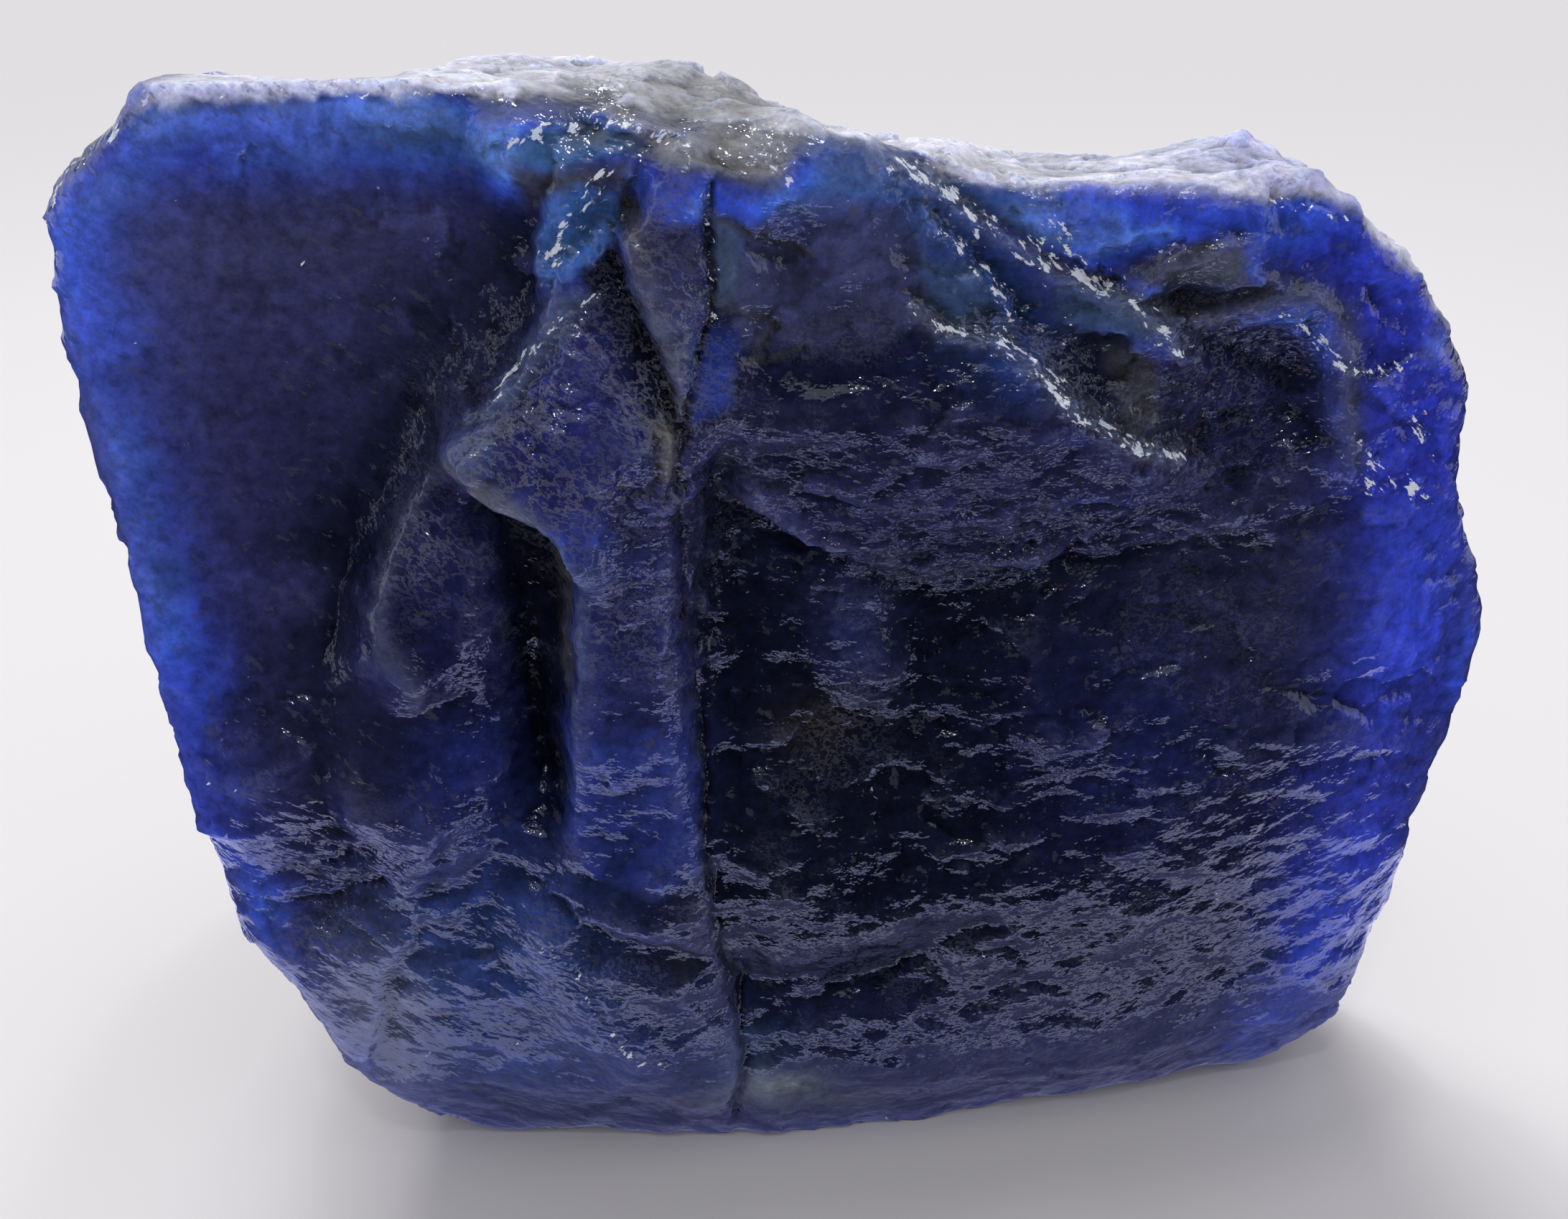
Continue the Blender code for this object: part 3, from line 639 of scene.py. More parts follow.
def line_distance(u, v, points):
    """Distance to a polyline, and +1 or -1 for the left or the right of the walk."""
    best = np.full(u.shape, np.inf)
    side = np.ones(u.shape)
    for (u0, v0), (u1, v1) in zip(points, points[1:]):
        du, dv = u1 - u0, v1 - v0
        along = np.clip(((u - u0) * du + (v - v0) * dv) / (du * du + dv * dv), 0.0, 1.0)
        gap_u = u - (u0 + along * du)
        gap_v = v - (v0 + along * dv)
        distance = np.hypot(gap_u, gap_v)
        nearer = distance < best
        best = np.where(nearer, distance, best)
        side = np.where(nearer, np.sign(du * gap_v - dv * gap_u), side)
    return best, side


def inside(u, v, outline, edge):
    """1 inside a closed outline, easing to 0 just outside it."""
    closed = list(outline) + [outline[0]]
    within = np.zeros(u.shape, dtype=bool)
    for (u0, v0), (u1, v1) in zip(closed, closed[1:]):
        if v0 != v1:
            crossing = ((v0 > v) != (v1 > v)) & (u < u0 + (v - v0) * (u1 - u0) / (v1 - v0))
            within ^= crossing
    distance, _ = line_distance(u, v, closed)
    return smooth(0.5 + np.where(within, 0.5, -0.5) * distance / edge)


def swell(u, v, points, height, radius):
    """A round ridge along a polyline."""
    distance, _ = line_distance(u, v, points)
    return height * np.exp(-((distance / radius) ** 2))


def step(u, v, points, height, slope, reach):
    """Ground raised on the left of a polyline, level again beyond its reach."""
    distance, side = line_distance(u, v, points)
    return height * smooth(0.5 + 0.5 * side * distance / slope) * (1.0 - smooth(distance / reach))


def dome(u, v, centre, radii, height):
    """An oval swell or scoop."""
    distance = ((u - centre[0]) / radii[0]) ** 2 + ((v - centre[1]) / radii[1]) ** 2
    return height * np.exp(-distance)


def perlin(points, sizes, seed):
    """Smooth noise from -1 to 1, with one size or a size for each axis."""
    places = points / np.array(sizes) + seed * SEED_SHIFT
    return np.array([noise.noise(Vector(place)) for place in places.tolist()])


def crease(points, sizes, seed):
    """Noise with sharp valleys, from 0 to 1."""
    return np.abs(perlin(points, sizes, seed))


def bent(points, sizes, seed, amount, shift):
    """Places in a grid of cells that smooth noise bends."""
    sizes = np.array(sizes)
    warp = np.stack([perlin(points, sizes, seed + BEND_SEED + axis) for axis in range(3)], axis=1)
    return ((points + amount * sizes * warp) / sizes + seed * shift).tolist()


def scoops(points, sizes, seed):
    """Shallow bites with crisp ridges between them, from 0 in a bite's middle to about 1."""
    places = bent(points, sizes, seed, BITE_BEND, BITE_SHIFT)
    return np.array([noise.voronoi(Vector(place))[0][0] for place in places]) ** 2


def facets(points, sizes, seed):
    """Small flat breaks, each tilted its own way, from about -0.4 to 0.4."""
    places = bent(points, sizes, seed, BREAK_BEND, BREAK_SHIFT)
    heights = np.empty(len(places))
    noise.seed_set(TILT_SEED)
    for index, place in enumerate(places):
        centre = noise.voronoi(Vector(place))[1][0]
        heights[index] = (Vector(place) - centre).dot(noise.noise_vector(centre * TILT_STRIDE))
    return heights


def layered(points, form, layers, start=0.0):
    """Layers of one kind of noise, added to a start value."""
    total = start
    for share, sizes, seed in layers:
        total = total + share * form(points, sizes, seed)
    return total


def wobbled(place, wobbles):
    """The x and z of each place, shifted a little so that lines and patches have broken edges."""
    return [layered(place, perlin, layers, place[:, axis]) for axis, layers in zip((0, 2), wobbles)]


def front_share(place, normals, part):
    """1 on a part of the front, easing to 0 around it."""
    turn, depth = part
    return between(-normals[:, 1], turn) * between(place[:, 1], depth)


def edge_height(place):
    """The height of the top's front edge at the x of each place."""
    return np.interp(place[:, 0], *zip(*TOP_EDGE))


def outward(vectors, normals):
    """How far each vector reaches out of the surface."""
    return np.einsum("ij,ij->i", vectors, normals)


def read_points(mesh):
    """Vertex positions as an array."""
    points = np.empty(len(mesh.vertices) * 3, dtype=np.float32)
    mesh.vertices.foreach_get("co", points)
    return points.reshape(-1, 3).astype(float)


def read_normals(mesh):
    """Vertex normals as an array."""
    normals = np.empty(len(mesh.vertices) * 3, dtype=np.float32)
    mesh.vertices.foreach_get("normal", normals)
    return normals.reshape(-1, 3).astype(float)


def write_points(mesh, points):
    """Move the vertices to an array of positions."""
    mesh.vertices.foreach_set("co", points.astype(np.float32).ravel())
    mesh.update()


def read_edges(mesh):
    """Vertex pairs as an array."""
    edges = np.empty(len(mesh.edges) * 2, dtype=np.int32)
    mesh.edges.foreach_get("vertices", edges)
    return edges.reshape(-1, 2)


def spread(values, edges, rounds, rate):
    """Even out values over the mesh, a little each round."""
    count = len(values)
    first, second = edges.T
    degree = np.bincount(first, minlength=count) + np.bincount(second, minlength=count)
    columns = values.reshape(count, -1).copy()
    for _ in range(rounds):
        for axis in range(columns.shape[1]):
            column = columns[:, axis]
            total = np.bincount(first, column[second], count) + np.bincount(second, column[first], count)
            columns[:, axis] = column + rate * (total / np.maximum(degree, 1) - column)
    return columns.reshape(values.shape)


def new_object(name, data):
    """An object in the scene."""
    obj = bpy.data.objects.new(name, data)
    bpy.context.scene.collection.objects.link(obj)
    return obj


def replace_mesh(obj):
    """Apply the object's modifiers."""
    graph = bpy.context.evaluated_depsgraph_get()
    mesh = bpy.data.meshes.new_from_object(obj.evaluated_get(graph), depsgraph=graph)
    old = obj.data
    obj.modifiers.clear()
    obj.data = mesh
    bpy.data.meshes.remove(old)


def welded_copy(source):
    """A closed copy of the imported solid's mesh, in mm."""
    mesh = bpy.data.meshes.new("stone")
    stone = bmesh.new()
    stone.from_mesh(source)
    bmesh.ops.scale(stone, vec=(1 / MM, 1 / MM, 1 / MM), verts=stone.verts)
    bmesh.ops.remove_doubles(stone, verts=stone.verts, dist=WELD)
    stone.to_mesh(mesh)
    stone.free()
    return mesh


def carve(mesh):
    """Break the smooth stone into its fine ridges, cracks, ripples and chips. Works in mm."""
    points, edges = read_points(mesh), read_edges(mesh)
    relaxed = spread(points, edges, RELAX_ROUNDS, RELAX_RATE)
    write_points(mesh, relaxed)
    normals = read_normals(mesh)
    lost = spread(outward(points - relaxed, normals), edges, LOST_ROUNDS, EVEN_RATE)
    points = relaxed + normals * (lost * between(np.abs(lost), RIM_KEPT))[:, None]
    bulge = outward(points - spread(points, edges, SHARPEN_ROUNDS, EVEN_RATE), normals)
    sharpen(points, normals, bulge)
    trim(points)
    place = points - CARVING_ZERO
    level(points, place, front_share(place, normals, LEVELLED))
    front = front_share(place, normals, CARVED)
    points[:, 1] -= front * line_relief(place)
    points += normals * broken_skin(place, front, bulge)[:, None]
    write_points(mesh, points)


def sharpen(points, normals, bulge):
    """Raise the ridges and sink the grooves, most of all along the top's front edge."""
    place = points - CARVING_ZERO
    brink = np.abs(place[:, 2] - edge_height(place))
    gain = SHARPEN_GAIN + EDGE_GAIN * between(brink, EDGE_REACH) * between(place[:, 1], EDGE_DEPTH)
    points += normals * np.clip(gain * bulge, -SHARPEN_MOST, SHARPEN_MOST)[:, None]


def trim(points):
    """Bring the top's far edge and the left side to their outlines."""
    place = points - CARVING_ZERO
    x, y, z = place.T
    share = np.maximum(between(y, TRIM_DEPTH), between(np.abs(x), TRIM_ENDS))
    rise = between(z - edge_height(place), TRIM_RISE)
    points[:, 2] += np.interp(x, *zip(*TOP_TRIM)) * share * rise
    points[:, 0] += np.interp(z, *zip(*LEFT_TRIM)) * between(x, TRIM_LEFT)


def level(points, place, front):
    """Bring parts of the front towards flat leaning faces."""
    x, y, z = place.T
    for limits, low, high, depths, slope, share in FACES:
        foot = np.interp(x, *zip(*low))
        roof = np.interp(x, *zip(*high))
        goal = np.interp(x, *zip(*depths)) + slope * (roof - z)
        left, right = limits
        within = between(x, (left, left + FACE_LEFT)) * between(x, (right, right - FACE_RIGHT))
        within *= between(z, (foot, foot + FACE_FOOT)) * between(z, (roof + FACE_OVER, roof - FACE_UNDER))
        points[:, 1] += share * within * front * (goal - y)
        y = points[:, 1] - CARVING_ZERO[1]


def line_relief(place):
    """Ridges, grooves and steps along the lines of the front, and its leaning parts."""
    x, z = wobbled(place, LINE_WOBBLE)
    relief = np.zeros(len(place))
    for line, height, radius in FINE_RIDGES:
        relief += swell(x, z, line, height, radius)
    for line, depth, radius in FINE_GROOVES:
        relief -= swell(x, z, line, depth, radius)
    for line, height, slope, reach in FINE_STEPS:
        relief += step(x, z, line, height, slope, reach)
    for centre, radii, slope in LEANS:
        relief += slope * (z - centre[1]) * dome(x, z, centre, radii, 1.0)
    return relief


def broken_skin(place, front, bulge):
    """Ripples, lumps, bites, flat breaks and chips all over the stone."""
    strength = ripple_strength(place, front)
    fine_ripples = layered(place, crease, CREASES) + layered(place, perlin, FINE_RIPPLES)
    skin = RIPPLE_HEIGHT * strength * (layered(place, perlin, RIPPLES) + fine_ripples)
    skin += LUMP_HEIGHT * layered(place, perlin, LUMPS)
    skin += BITE_HEIGHT * strength * layered(place, scoops, BITES)
    skin += BREAK_HEIGHT * strength * layered(place, facets, BREAKS)
    chips = np.maximum(0.0, CHIP_SIZE - layered(place, scoops, CHIPS))
    return skin - CHIP_DEPTH * (between(bulge, CHIP_RANGE) * chips)


def ripple_strength(place, front):
    """How strongly each place is rippled, from 0 to about 1.3."""
    x, _, z = place.T
    strength = np.full(len(place), RIPPLE_PLAIN)
    for centre, radii, height in RIPPLE_AREAS:
        strength += dome(x, z, centre, radii, height)
    mixed = strength * front + RIPPLE_ELSEWHERE * (1 - front)
    return np.where(front > 0, mixed, RIPPLE_ELSEWHERE)


def build_stone():
    """The detailed stone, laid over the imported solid."""
    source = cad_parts[NODE]
    obj = new_object("sapphire_stone", welded_copy(source.data))
    resample = obj.modifiers.new("resample", "REMESH")
    resample.mode = "VOXEL"
    resample.voxel_size = VOXEL
    replace_mesh(obj)
    carve(obj.data)
    triangles = sum(len(face.vertices) - 2 for face in obj.data.polygons)
    if triangles > MAX_TRIANGLES:
        thin = obj.modifiers.new("thin", "DECIMATE")
        thin.ratio = MAX_TRIANGLES / triangles
        replace_mesh(obj)
    mesh = obj.data
    points = read_points(mesh)
    low = np.array(cad_box[0]) / MM + BOX_MARGIN
    high = np.array(cad_box[1]) / MM - BOX_MARGIN
    low[2] = 0.0
    write_points(mesh, np.clip(points, low, high))
    paint(mesh)
    write_points(mesh, read_points(mesh) * MM)
    mesh.shade_smooth()
    return obj


def solid_tree(mesh):
    """The stone's mesh, ready for rays."""
    faces = [tuple(face.vertices) for face in mesh.polygons]
    return BVHTree.FromPolygons([tuple(v.co) for v in mesh.vertices], faces)


def inward_directions(normals):
    """Rays into the stone as (weight, a direction for each place), spread over the inward half."""
    helper = np.where(np.abs(normals[:, 2:3]) < UPRIGHT, [[0.0, 0.0, 1.0]], [[1.0, 0.0, 0.0]])
    across = np.cross(normals, helper)
    across /= np.linalg.norm(across, axis=1, keepdims=True)
    along = np.cross(normals, across)
    rays = []
    for tilt, count in RAY_RINGS:
        for index in range(count):
            turn = 2.0 * math.pi * (index + 0.5 * (count % 2)) / count
            side = math.cos(turn) * across + math.sin(turn) * along
            rays.append((math.cos(tilt), -math.cos(tilt) * normals + math.sin(tilt) * side))
    return rays


def inner_light(mesh):
    """How much light reaches each place through the stone, from 0 deep inside to about 1 at a thin edge."""
    tree = solid_tree(mesh)
    points, normals = read_points(mesh), read_normals(mesh)
    glow, total = np.zeros(len(points)), np.zeros(len(points))
    starts = [Vector(p) for p in (points - RAY_LIFT * normals).tolist()]
    for weight, directions in inward_directions(normals):
        upward = directions[:, 2] + SKY_LEAN * directions[:, 1]
        lit = SKY_FLOOR + (1.0 - SKY_FLOOR) * between(upward, SKY_RANGE)
        distances = np.empty(len(points))
        for index, (start, direction) in enumerate(zip(starts, directions.tolist())):
            distances[index] = tree.ray_cast(start, Vector(direction))[3] or FAR
        glow += weight * lit * np.exp(-distances / LIGHT_REACH)
        total += weight
    return spread(glow / total, read_edges(mesh), GLOW_ROUNDS, EVEN_RATE)


def ramp(value, stops):
    """Colour read along a list of (value, colour)."""
    places = [stop[0] for stop in stops]
    return np.stack([np.interp(value, places, [stop[1][c] for stop in stops]) for c in range(3)], axis=1)


def blend(base, colour, share):
    """Mix a colour into the base by each place's share."""
    share = np.clip(share, 0.0, 1.0)[:, None]
    return base * (1.0 - share) + np.array(colour) * share


def write_layer(mesh, name, values):
    """Keep values on the vertices for the material."""
    if values.ndim == 2:
        layer = mesh.attributes.new(name, "FLOAT_COLOR", "POINT")
        rgba = np.ones((len(values), 4), dtype=np.float32)
        rgba[:, :3] = values
        layer.data.foreach_set("color", rgba.ravel())
    else:
        layer = mesh.attributes.new(name, "FLOAT", "POINT")
        layer.data.foreach_set("value", values.astype(np.float32))


def paint(mesh):
    """Colour with painted glow, shade, highlights and reflections, dullness, ripples, painted scribbles of
    reflection and glints for every place. Works in mm.
    """
    points, normals = read_points(mesh), read_normals(mesh)
    glow = inner_light(mesh)
    calm = spread(points, read_edges(mesh), CALM_ROUNDS, EVEN_RATE)
    bulge = outward(points - calm, normals)
    write_points(mesh, calm)
    calm_normals = read_normals(mesh)
    write_points(mesh, points)
    place = points - CARVING_ZERO
    cloud = layered(place, perlin, CLOUDS)
    front = front_share(place, normals, PAINTED)
    top = top_share(place, calm_normals)
    rubbed_and_lit = between(bulge, RUBBED_AND_LIT_BULGE) * (1.0 - RUBBED_AND_LIT_ON_TOP * top)

    # Painted glow: dark deep inside, bright blue where light would pass through a thin edge
    colour = ramp(glow * GLOW_GAIN * (1.0 + CLOUD_GLOW * cloud), PAINTED_GLOW_COLOURS)
    colour = front_colour(colour, place, front)
    colour = top_colour(colour, place, top, cloud)
    # Painted shade in the hollows and painted highlight on the ridges
    colour *= np.clip(1.0 + CAVITY_SHADE_GAIN * bulge, *CAVITY_SHADE_RANGE)[:, None]
    turned = front_share(place, normals, RIM) * (1.0 - top)
    colour = blend(colour, RIM_TONE, RIM_SHARE * turned)
    # Painted sheen on the ridges, where they catch the light
    colour = blend(colour, RIDGE_SHEEN_TONE, RIDGE_SHEEN_SHARE * rubbed_and_lit)

    dull = top * (TOP_DULL[0] + TOP_DULL[1] * between(cloud, DULL_CLOUD)) + RUBBED_DULL * rubbed_and_lit
    write_layer(mesh, "tint", colour)
    write_layer(mesh, "dull", np.clip(dull, 0.0, 1.0))
    write_layer(mesh, "ripple", ripple_strength(place, front))
    # Painted reflection: pale scribbles along the rough ridges
    write_layer(mesh, "web_sheen", web_sheen_strength(place, front, top, bulge, cloud))
    write_layer(mesh, "glitter", glitter_strength(place, front))


def top_share(place, calm_normals):
    """1 on the pale top, easing to 0 at the back and sides and ending crisply at the front edge."""
    top = between(calm_normals[:, 2], TOP_TURN) * between(place[:, 2], TOP_HEIGHT)
    shore = between(place[:, 1], SHORE_DEPTH) * between(place[:, 0], SHORE_END)
    wavy = layered(place, perlin, SHORE_WOBBLE, place[:, 2])
    top = top * (1.0 - shore) + shore * between(wavy - edge_height(place), SHORE_RISE)
    return top * np.maximum(between(place[:, 0], BEVEL_FADE), between(place[:, 1], BEVEL_BACK))


def front_colour(colour, place, front):
    """Lay the front's soft patches, areas and lines, which hold its own tones with painted glow, shade,
    highlights and a reflection, over the colour of the stone.
    """
    x, z = wobbled(place, PATCH_WOBBLE)
    for centre, radii, tone, strength in FRONT_TONE_AND_PAINTED_LIGHT_PATCHES:
        colour = blend(colour, tone, dome(x, z, centre, radii, strength) * front)
    x, z = wobbled(place, AREA_WOBBLE)
    for outline, tone, strength in FRONT_TONE_AND_PAINTED_LIGHT_AREAS:
        colour = blend(colour, tone, strength * inside(x, z, outline, AREA_EDGE) * front)
    for line, radius, tone, strength in FRONT_TONE_AND_PAINTED_LIGHT_LINES:
        colour = blend(colour, tone, swell(x, z, line, strength, radius) * front)
    return np.minimum(TONE_GAIN * colour, TONE_MOST)


def top_colour(colour, place, top, cloud):
    """Lay the pale top, a painted reflection, and its patches over the colour of the stone."""
    colour = blend(colour, TOP_REFLECTION_TONE, TOP_REFLECTION_SHARE * top * (1.0 + TOP_REFLECTION_CLOUD * cloud))
    x = layered(place, perlin, AREA_WOBBLE[0], place[:, 0])
    for centre, radii, tone, strength in TOP_PATCHES:
        colour = blend(colour, tone, dome(x, place[:, 1], centre, radii, strength) * top)
    return colour


def web_sheen_strength(place, front, top, bulge, cloud):
    """How strongly each place is laced with painted pale scribbles of reflection, from 0 to 1."""
    web_sheen = WEB_PLAIN + WEB_RIDGES * between(bulge, WEB_BULGE) + WEB_CLOUD * cloud
    for centre, radii, strength in WEB_AREAS:
        web_sheen += dome(place[:, 0], place[:, 2], centre, radii, strength)
    web_sheen *= np.maximum(front, WEB_ELSEWHERE) * (1.0 - top) * between(cloud, WEB_GAPS)
    return np.clip(web_sheen, 0.0, 1.0)


def glitter_strength(place, front):
    """How strongly each place glitters, from 0 to 1."""
    glitter = np.zeros(len(place))
    for line, radius, strength in GLITTER_LINES:
        glitter = np.maximum(glitter, swell(place[:, 0], place[:, 2], line, strength, radius) * front)
    return glitter


def add_node(tree, kind, values=None, links=None):
    """A node with its settings, plain socket values and incoming links."""
    node = tree.nodes.new(kind)
    for key, value in (values or {}).items():
        if isinstance(key, str) and hasattr(node, key):
            setattr(node, key, value)
        else:
            node.inputs[key].default_value = value
    for key, socket in (links or {}).items():
        tree.links.new(socket, node.inputs[key])
    return node


def layer_output(tree, name, output):
    """A vertex layer as a socket."""
    return add_node(tree, "ShaderNodeAttribute", {"attribute_name": name}).outputs[output]


def maths(tree, operation, *terms, kind="ShaderNodeMath"):
    """Arithmetic on sockets and plain values."""
    linked = {index: term for index, term in enumerate(terms) if isinstance(term, bpy.types.NodeSocket)}
    plain = {index: term for index, term in enumerate(terms) if index not in linked}
    return add_node(tree, kind, {"operation": operation, **plain}, linked).outputs[0]


def mapped(tree, socket, source, target):
    """A socket moved from one range to another, and held to it."""
    limits = {"From Min": source[0], "From Max": source[1], "To Min": target[0], "To Max": target[1]}
    return add_node(tree, "ShaderNodeMapRange", limits, {"Value": socket}).outputs[0]


def noisy(tree, place, settings):
    """Noise with its (scale, detail, roughness)."""
    values = dict(zip(("Scale", "Detail", "Roughness"), settings))
    return add_node(tree, "ShaderNodeTexNoise", values, {"Vector": place}).outputs[0]


def placed(tree, place, values):
    """A place turned or stretched."""
    return add_node(tree, "ShaderNodeMapping", values, {"Vector": place}).outputs[0]


def covered(tree, base, colour, share):
    """A plain colour laid over a coloured socket."""
    values = {"data_type": "RGBA", MIX_OVER: (*colour, 1.0)}
    return add_node(tree, "ShaderNodeMix", values, {0: share, MIX_BASE: base}).outputs[MIX_RESULT]


def bump(tree, height, distance, normal=None):
    """Relief of the surface, over an earlier one."""
    links = {"Height": height, "Distance": distance}
    if normal:
        links["Normal"] = normal
    return add_node(tree, "ShaderNodeBump", {"Strength": 1.0}, links).outputs[0]


def sagging(tree, spot):
    """Places whose height bends like a smile and whose ripples lie flat."""
    x, y, z = add_node(tree, "ShaderNodeSeparateXYZ", None, {"Vector": spot}).outputs
    sideways = maths(tree, "SUBTRACT", x, SAG_MIDDLE)
    square = maths(tree, "MULTIPLY", sideways, sideways)
    height = maths(tree, "MULTIPLY_ADD", square, -SAG_BEND, z)
    sagged = add_node(tree, "ShaderNodeCombineXYZ", None, {0: x, 1: y, 2: height}).outputs[0]
    return placed(tree, sagged, {"Scale": RIPPLE_STRETCH})


def stone_colour(tree, spot, flat):
    """The painted tint with grain, specks of dust and painted pale scribbles of reflection."""
    shade = mapped(tree, noisy(tree, spot, GRAIN_NOISE), GRAIN_RANGE, GRAIN_TONE)
    tint = layer_output(tree, "tint", "Color")
    mottled = maths(tree, "MULTIPLY", tint, shade, kind="ShaderNodeVectorMath")
    dust = noisy(tree, flat, DUST_NOISE)
    dusted = covered(tree, mottled, FLECK_COLOUR, mapped(tree, dust, FLECK_RANGE, FLECK_SHARE))
    apart = maths(tree, "ABSOLUTE", maths(tree, "SUBTRACT", dust, WEB_LEVEL))
    lines = mapped(tree, apart, WEB_WIDTH, WHOLE[::-1])
    webbed = maths(tree, "MULTIPLY", lines, layer_output(tree, "web_sheen", "Fac"))
    return covered(tree, dusted, WEB_SHEEN_COLOUR, webbed)


def glint_share(tree, spot, sparkle):
    """Where painted glints flash in the base colour: short slanted streaks along the glittering lines."""
    moved = maths(tree, "SUBTRACT", spot, GLINT_MIDDLE, kind="ShaderNodeVectorMath")
    folded = maths(tree, "ABSOLUTE", moved, kind="ShaderNodeVectorMath")
    slanted = placed(tree, folded, {"Rotation": (0.0, math.radians(GLINT_TURN), 0.0)})
    streaks = noisy(tree, placed(tree, slanted, {"Scale": GLINT_STRETCH}), GLINT_NOISE)
    reach = maths(tree, "ADD", streaks, maths(tree, "MULTIPLY_ADD", sparkle, GLINT_LIFT, 0.0))
    return mapped(tree, reach, GLINT_RANGE, WHOLE)


def stone_relief(tree, flat, sparkle):
    """Swells, waves and crumbs, each over the one before."""
    ripple = layer_output(tree, "ripple", "Fac")
    normal = None
    for settings, strength, depth, least in (
        (SWELL_NOISE, ripple, SWELL_DEPTH, 0.0),
        (WAVE_NOISE, ripple, WAVE_DEPTH, 0.0),
        (CRUMB_NOISE, sparkle, GLITTER_DEPTH, GRAIN_DEPTH),
    ):
        distance = maths(tree, "MULTIPLY_ADD", strength, depth, least)
        normal = bump(tree, noisy(tree, flat, settings), distance, normal)
    return normal


def sapphire_material():
    """Wet, dark blue stone with a granular body."""
    material = bpy.data.materials.new("sapphire_stone")
    material.use_nodes = True
    tree = material.node_tree
    shader = tree.nodes["Principled BSDF"]
    spot = add_node(tree, "ShaderNodeTexCoord").outputs["Object"]
    flat = sagging(tree, spot)
    sparkle = layer_output(tree, "glitter", "Fac")
    glints = glint_share(tree, spot, sparkle)
    for name, socket in (
        ("Base Color", covered(tree, stone_colour(tree, spot, flat), GLINT_COLOUR, glints)),
        ("Roughness", mapped(tree, layer_output(tree, "dull", "Fac"), WHOLE, ROUGHNESS)),
        ("Normal", stone_relief(tree, flat, sparkle)),
    ):
        tree.links.new(socket, shader.inputs[name])
    for name, value in (
        ("IOR", REFRACTION), ("Specular Tint", (*SHINE_TINT, 1.0)), ("Subsurface Weight", 1.0),
        ("Subsurface Radius", SCATTER_SHARES), ("Subsurface Scale", SCATTER_REACH),
    ):
        shader.inputs[name].default_value = value
    return material


def dress():
    """Put the stone, with its material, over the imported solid."""
    stone = build_stone()
    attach(stone, BODY)
    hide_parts(NODE)
    stone.data.materials.clear()
    stone.data.materials.append(sapphire_material())


def add_camera():
    """The camera at the height and pitch of a hand-held close shot."""
    data = bpy.data.cameras.new("view")
    data.lens = LENS_MM
    data.sensor_width = SENSOR_MM
    data.clip_start = NEAREST * MM
    camera = new_object("view", data)
    camera.location = [value * MM for value in CAMERA_PLACE]
    camera.rotation_euler = (math.radians(90.0 - CAMERA_PITCH), 0.0, 0.0)
    bpy.context.scene.camera = camera


def matt_material(name, colour):
    """A plain surface with no shine."""
    material = bpy.data.materials.new(name)
    material.use_nodes = True
    shader = material.node_tree.nodes["Principled BSDF"]
    shader.inputs["Base Color"].default_value = (*colour, 1.0)
    shader.inputs["Roughness"].default_value = MATT_ROUGHNESS
    shader.inputs["Specular IOR Level"].default_value = 0.0
    return material


def add_floor():
    """A plain pale floor."""
    mesh = bpy.data.meshes.new("floor")
    size = FLOOR_HALF * MM
    corners = [(-size, -size, 0), (size, -size, 0), (size, size, 0), (-size, size, 0)]
    mesh.from_pydata(corners, [], [(0, 1, 2, 3)])
    floor = new_object("floor", mesh)
    floor.data.materials.append(matt_material("pale_floor", FLOOR_COLOUR))


def add_card(name, points, faces, glow=None):
    """A studio card, dark or glowing, that only glossy reflections see."""
    mesh = bpy.data.meshes.new(name)
    mesh.from_pydata([tuple(value * MM for value in point) for point in points], [], faces)
    card = new_object(name, mesh)
    material = matt_material(name, CARD_COLOUR)
    if glow:
        shader = material.node_tree.nodes["Principled BSDF"]
        shader.inputs["Emission Color"].default_value = (*glow, 1.0)
        shader.inputs["Emission Strength"].default_value = 1.0
        material.cycles.emission_sampling = "NONE"
    card.data.materials.append(material)
    for ray in ("camera", "diffuse", "shadow", "transmission", "volume_scatter"):
        setattr(card, "visible_" + ray, False)


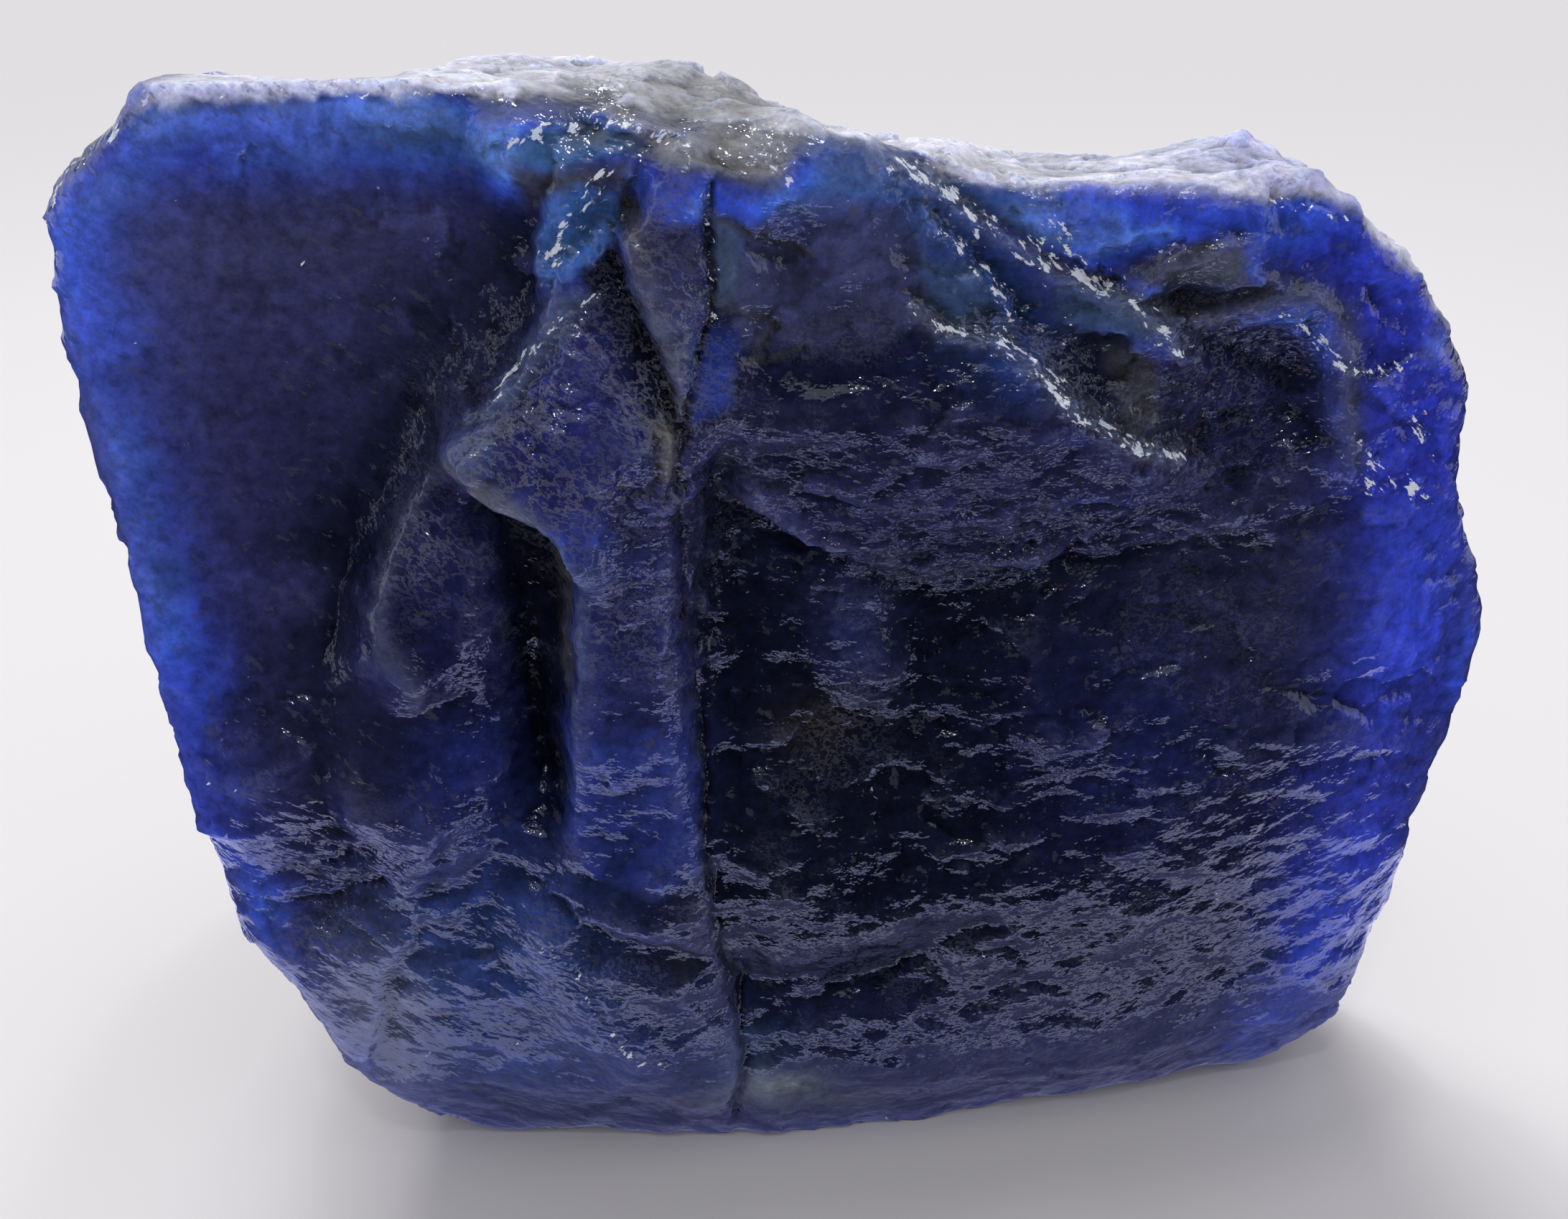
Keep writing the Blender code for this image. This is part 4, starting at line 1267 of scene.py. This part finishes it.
def add_cards():
    """Shaded and pale paper by the stone, a dark apron beyond, and a dark wall on the camera's side."""
    points, faces = [], []
    for index in range(CARD_SIDES):
        turn = 2.0 * math.pi * index / CARD_SIDES
        for radius_x, radius_y in (APRON_INNER, APRON_OUTER):
            points.append((radius_x * math.cos(turn), radius_y * math.sin(turn), APRON_LIFT))
        here, after = 2 * index, 2 * ((index + 1) % CARD_SIDES)
        faces.append((here, here + 1, after + 1, after))
    add_card("dark_apron", points, faces)
    for name, inner, outer, glow in (
        ("pale_paper", PAPER_INNER, APRON_INNER, PAPER_GLOW),
        ("shaded_paper", SHADED_INNER, PAPER_INNER, SHADED_GLOW),
    ):
        paper = []
        for x, y, height in points[0::2]:
            for radii in (inner, outer):
                paper.append((x * radii[0] / APRON_INNER[0], y * radii[1] / APRON_INNER[1], height))
        add_card(name, paper, faces, glow)
    points, faces = [], []
    for index in range(CARD_SIDES + 1):
        turn = math.radians(WALL_TURN[0] + (WALL_TURN[1] - WALL_TURN[0]) * index / CARD_SIDES)
        for height in (0.0, WALL_HEIGHT):
            points.append((WALL_RADIUS * math.cos(turn), WALL_RADIUS * math.sin(turn), height))
        if index < CARD_SIDES:
            here = 2 * index
            faces.append((here, here + 2, here + 3, here + 1))
    add_card("dark_wall", points, faces)


def add_lamp(name, data, place):
    """A lamp aimed at the stone."""
    lamp = new_object(name, data)
    lamp.location = [value * MM for value in place]
    aim = Vector([goal - start for goal, start in zip(LAMP_AIM, place)])
    lamp.rotation_euler = aim.to_track_quat("-Z", "Y").to_euler()
    return lamp


def add_lights():
    """A pale room and soft lamps above and behind."""
    world = bpy.data.worlds.new("soft_room")
    bpy.context.scene.world = world
    world.use_nodes = True
    room = world.node_tree.nodes["Background"].inputs
    room["Color"].default_value = (*ROOM_COLOUR, 1.0)
    room["Strength"].default_value = ROOM_STRENGTH
    for name, place, size, power in LAMPS:
        data = bpy.data.lights.new(name, "AREA")
        data.shape = "RECTANGLE"
        data.size, data.size_y = size[0] * MM, size[1] * MM
        data.energy = power
        add_lamp(name, data, place)
    data = bpy.data.lights.new("skylight", "SUN")
    data.energy = SUN_STRENGTH
    data.angle = math.radians(SUN_SPREAD)
    add_lamp("skylight", data, SUN_PLACE).visible_glossy = False
    bpy.context.scene.view_settings.view_transform = "Standard"


dress()
add_floor()
add_cards()
add_lights()
add_camera()
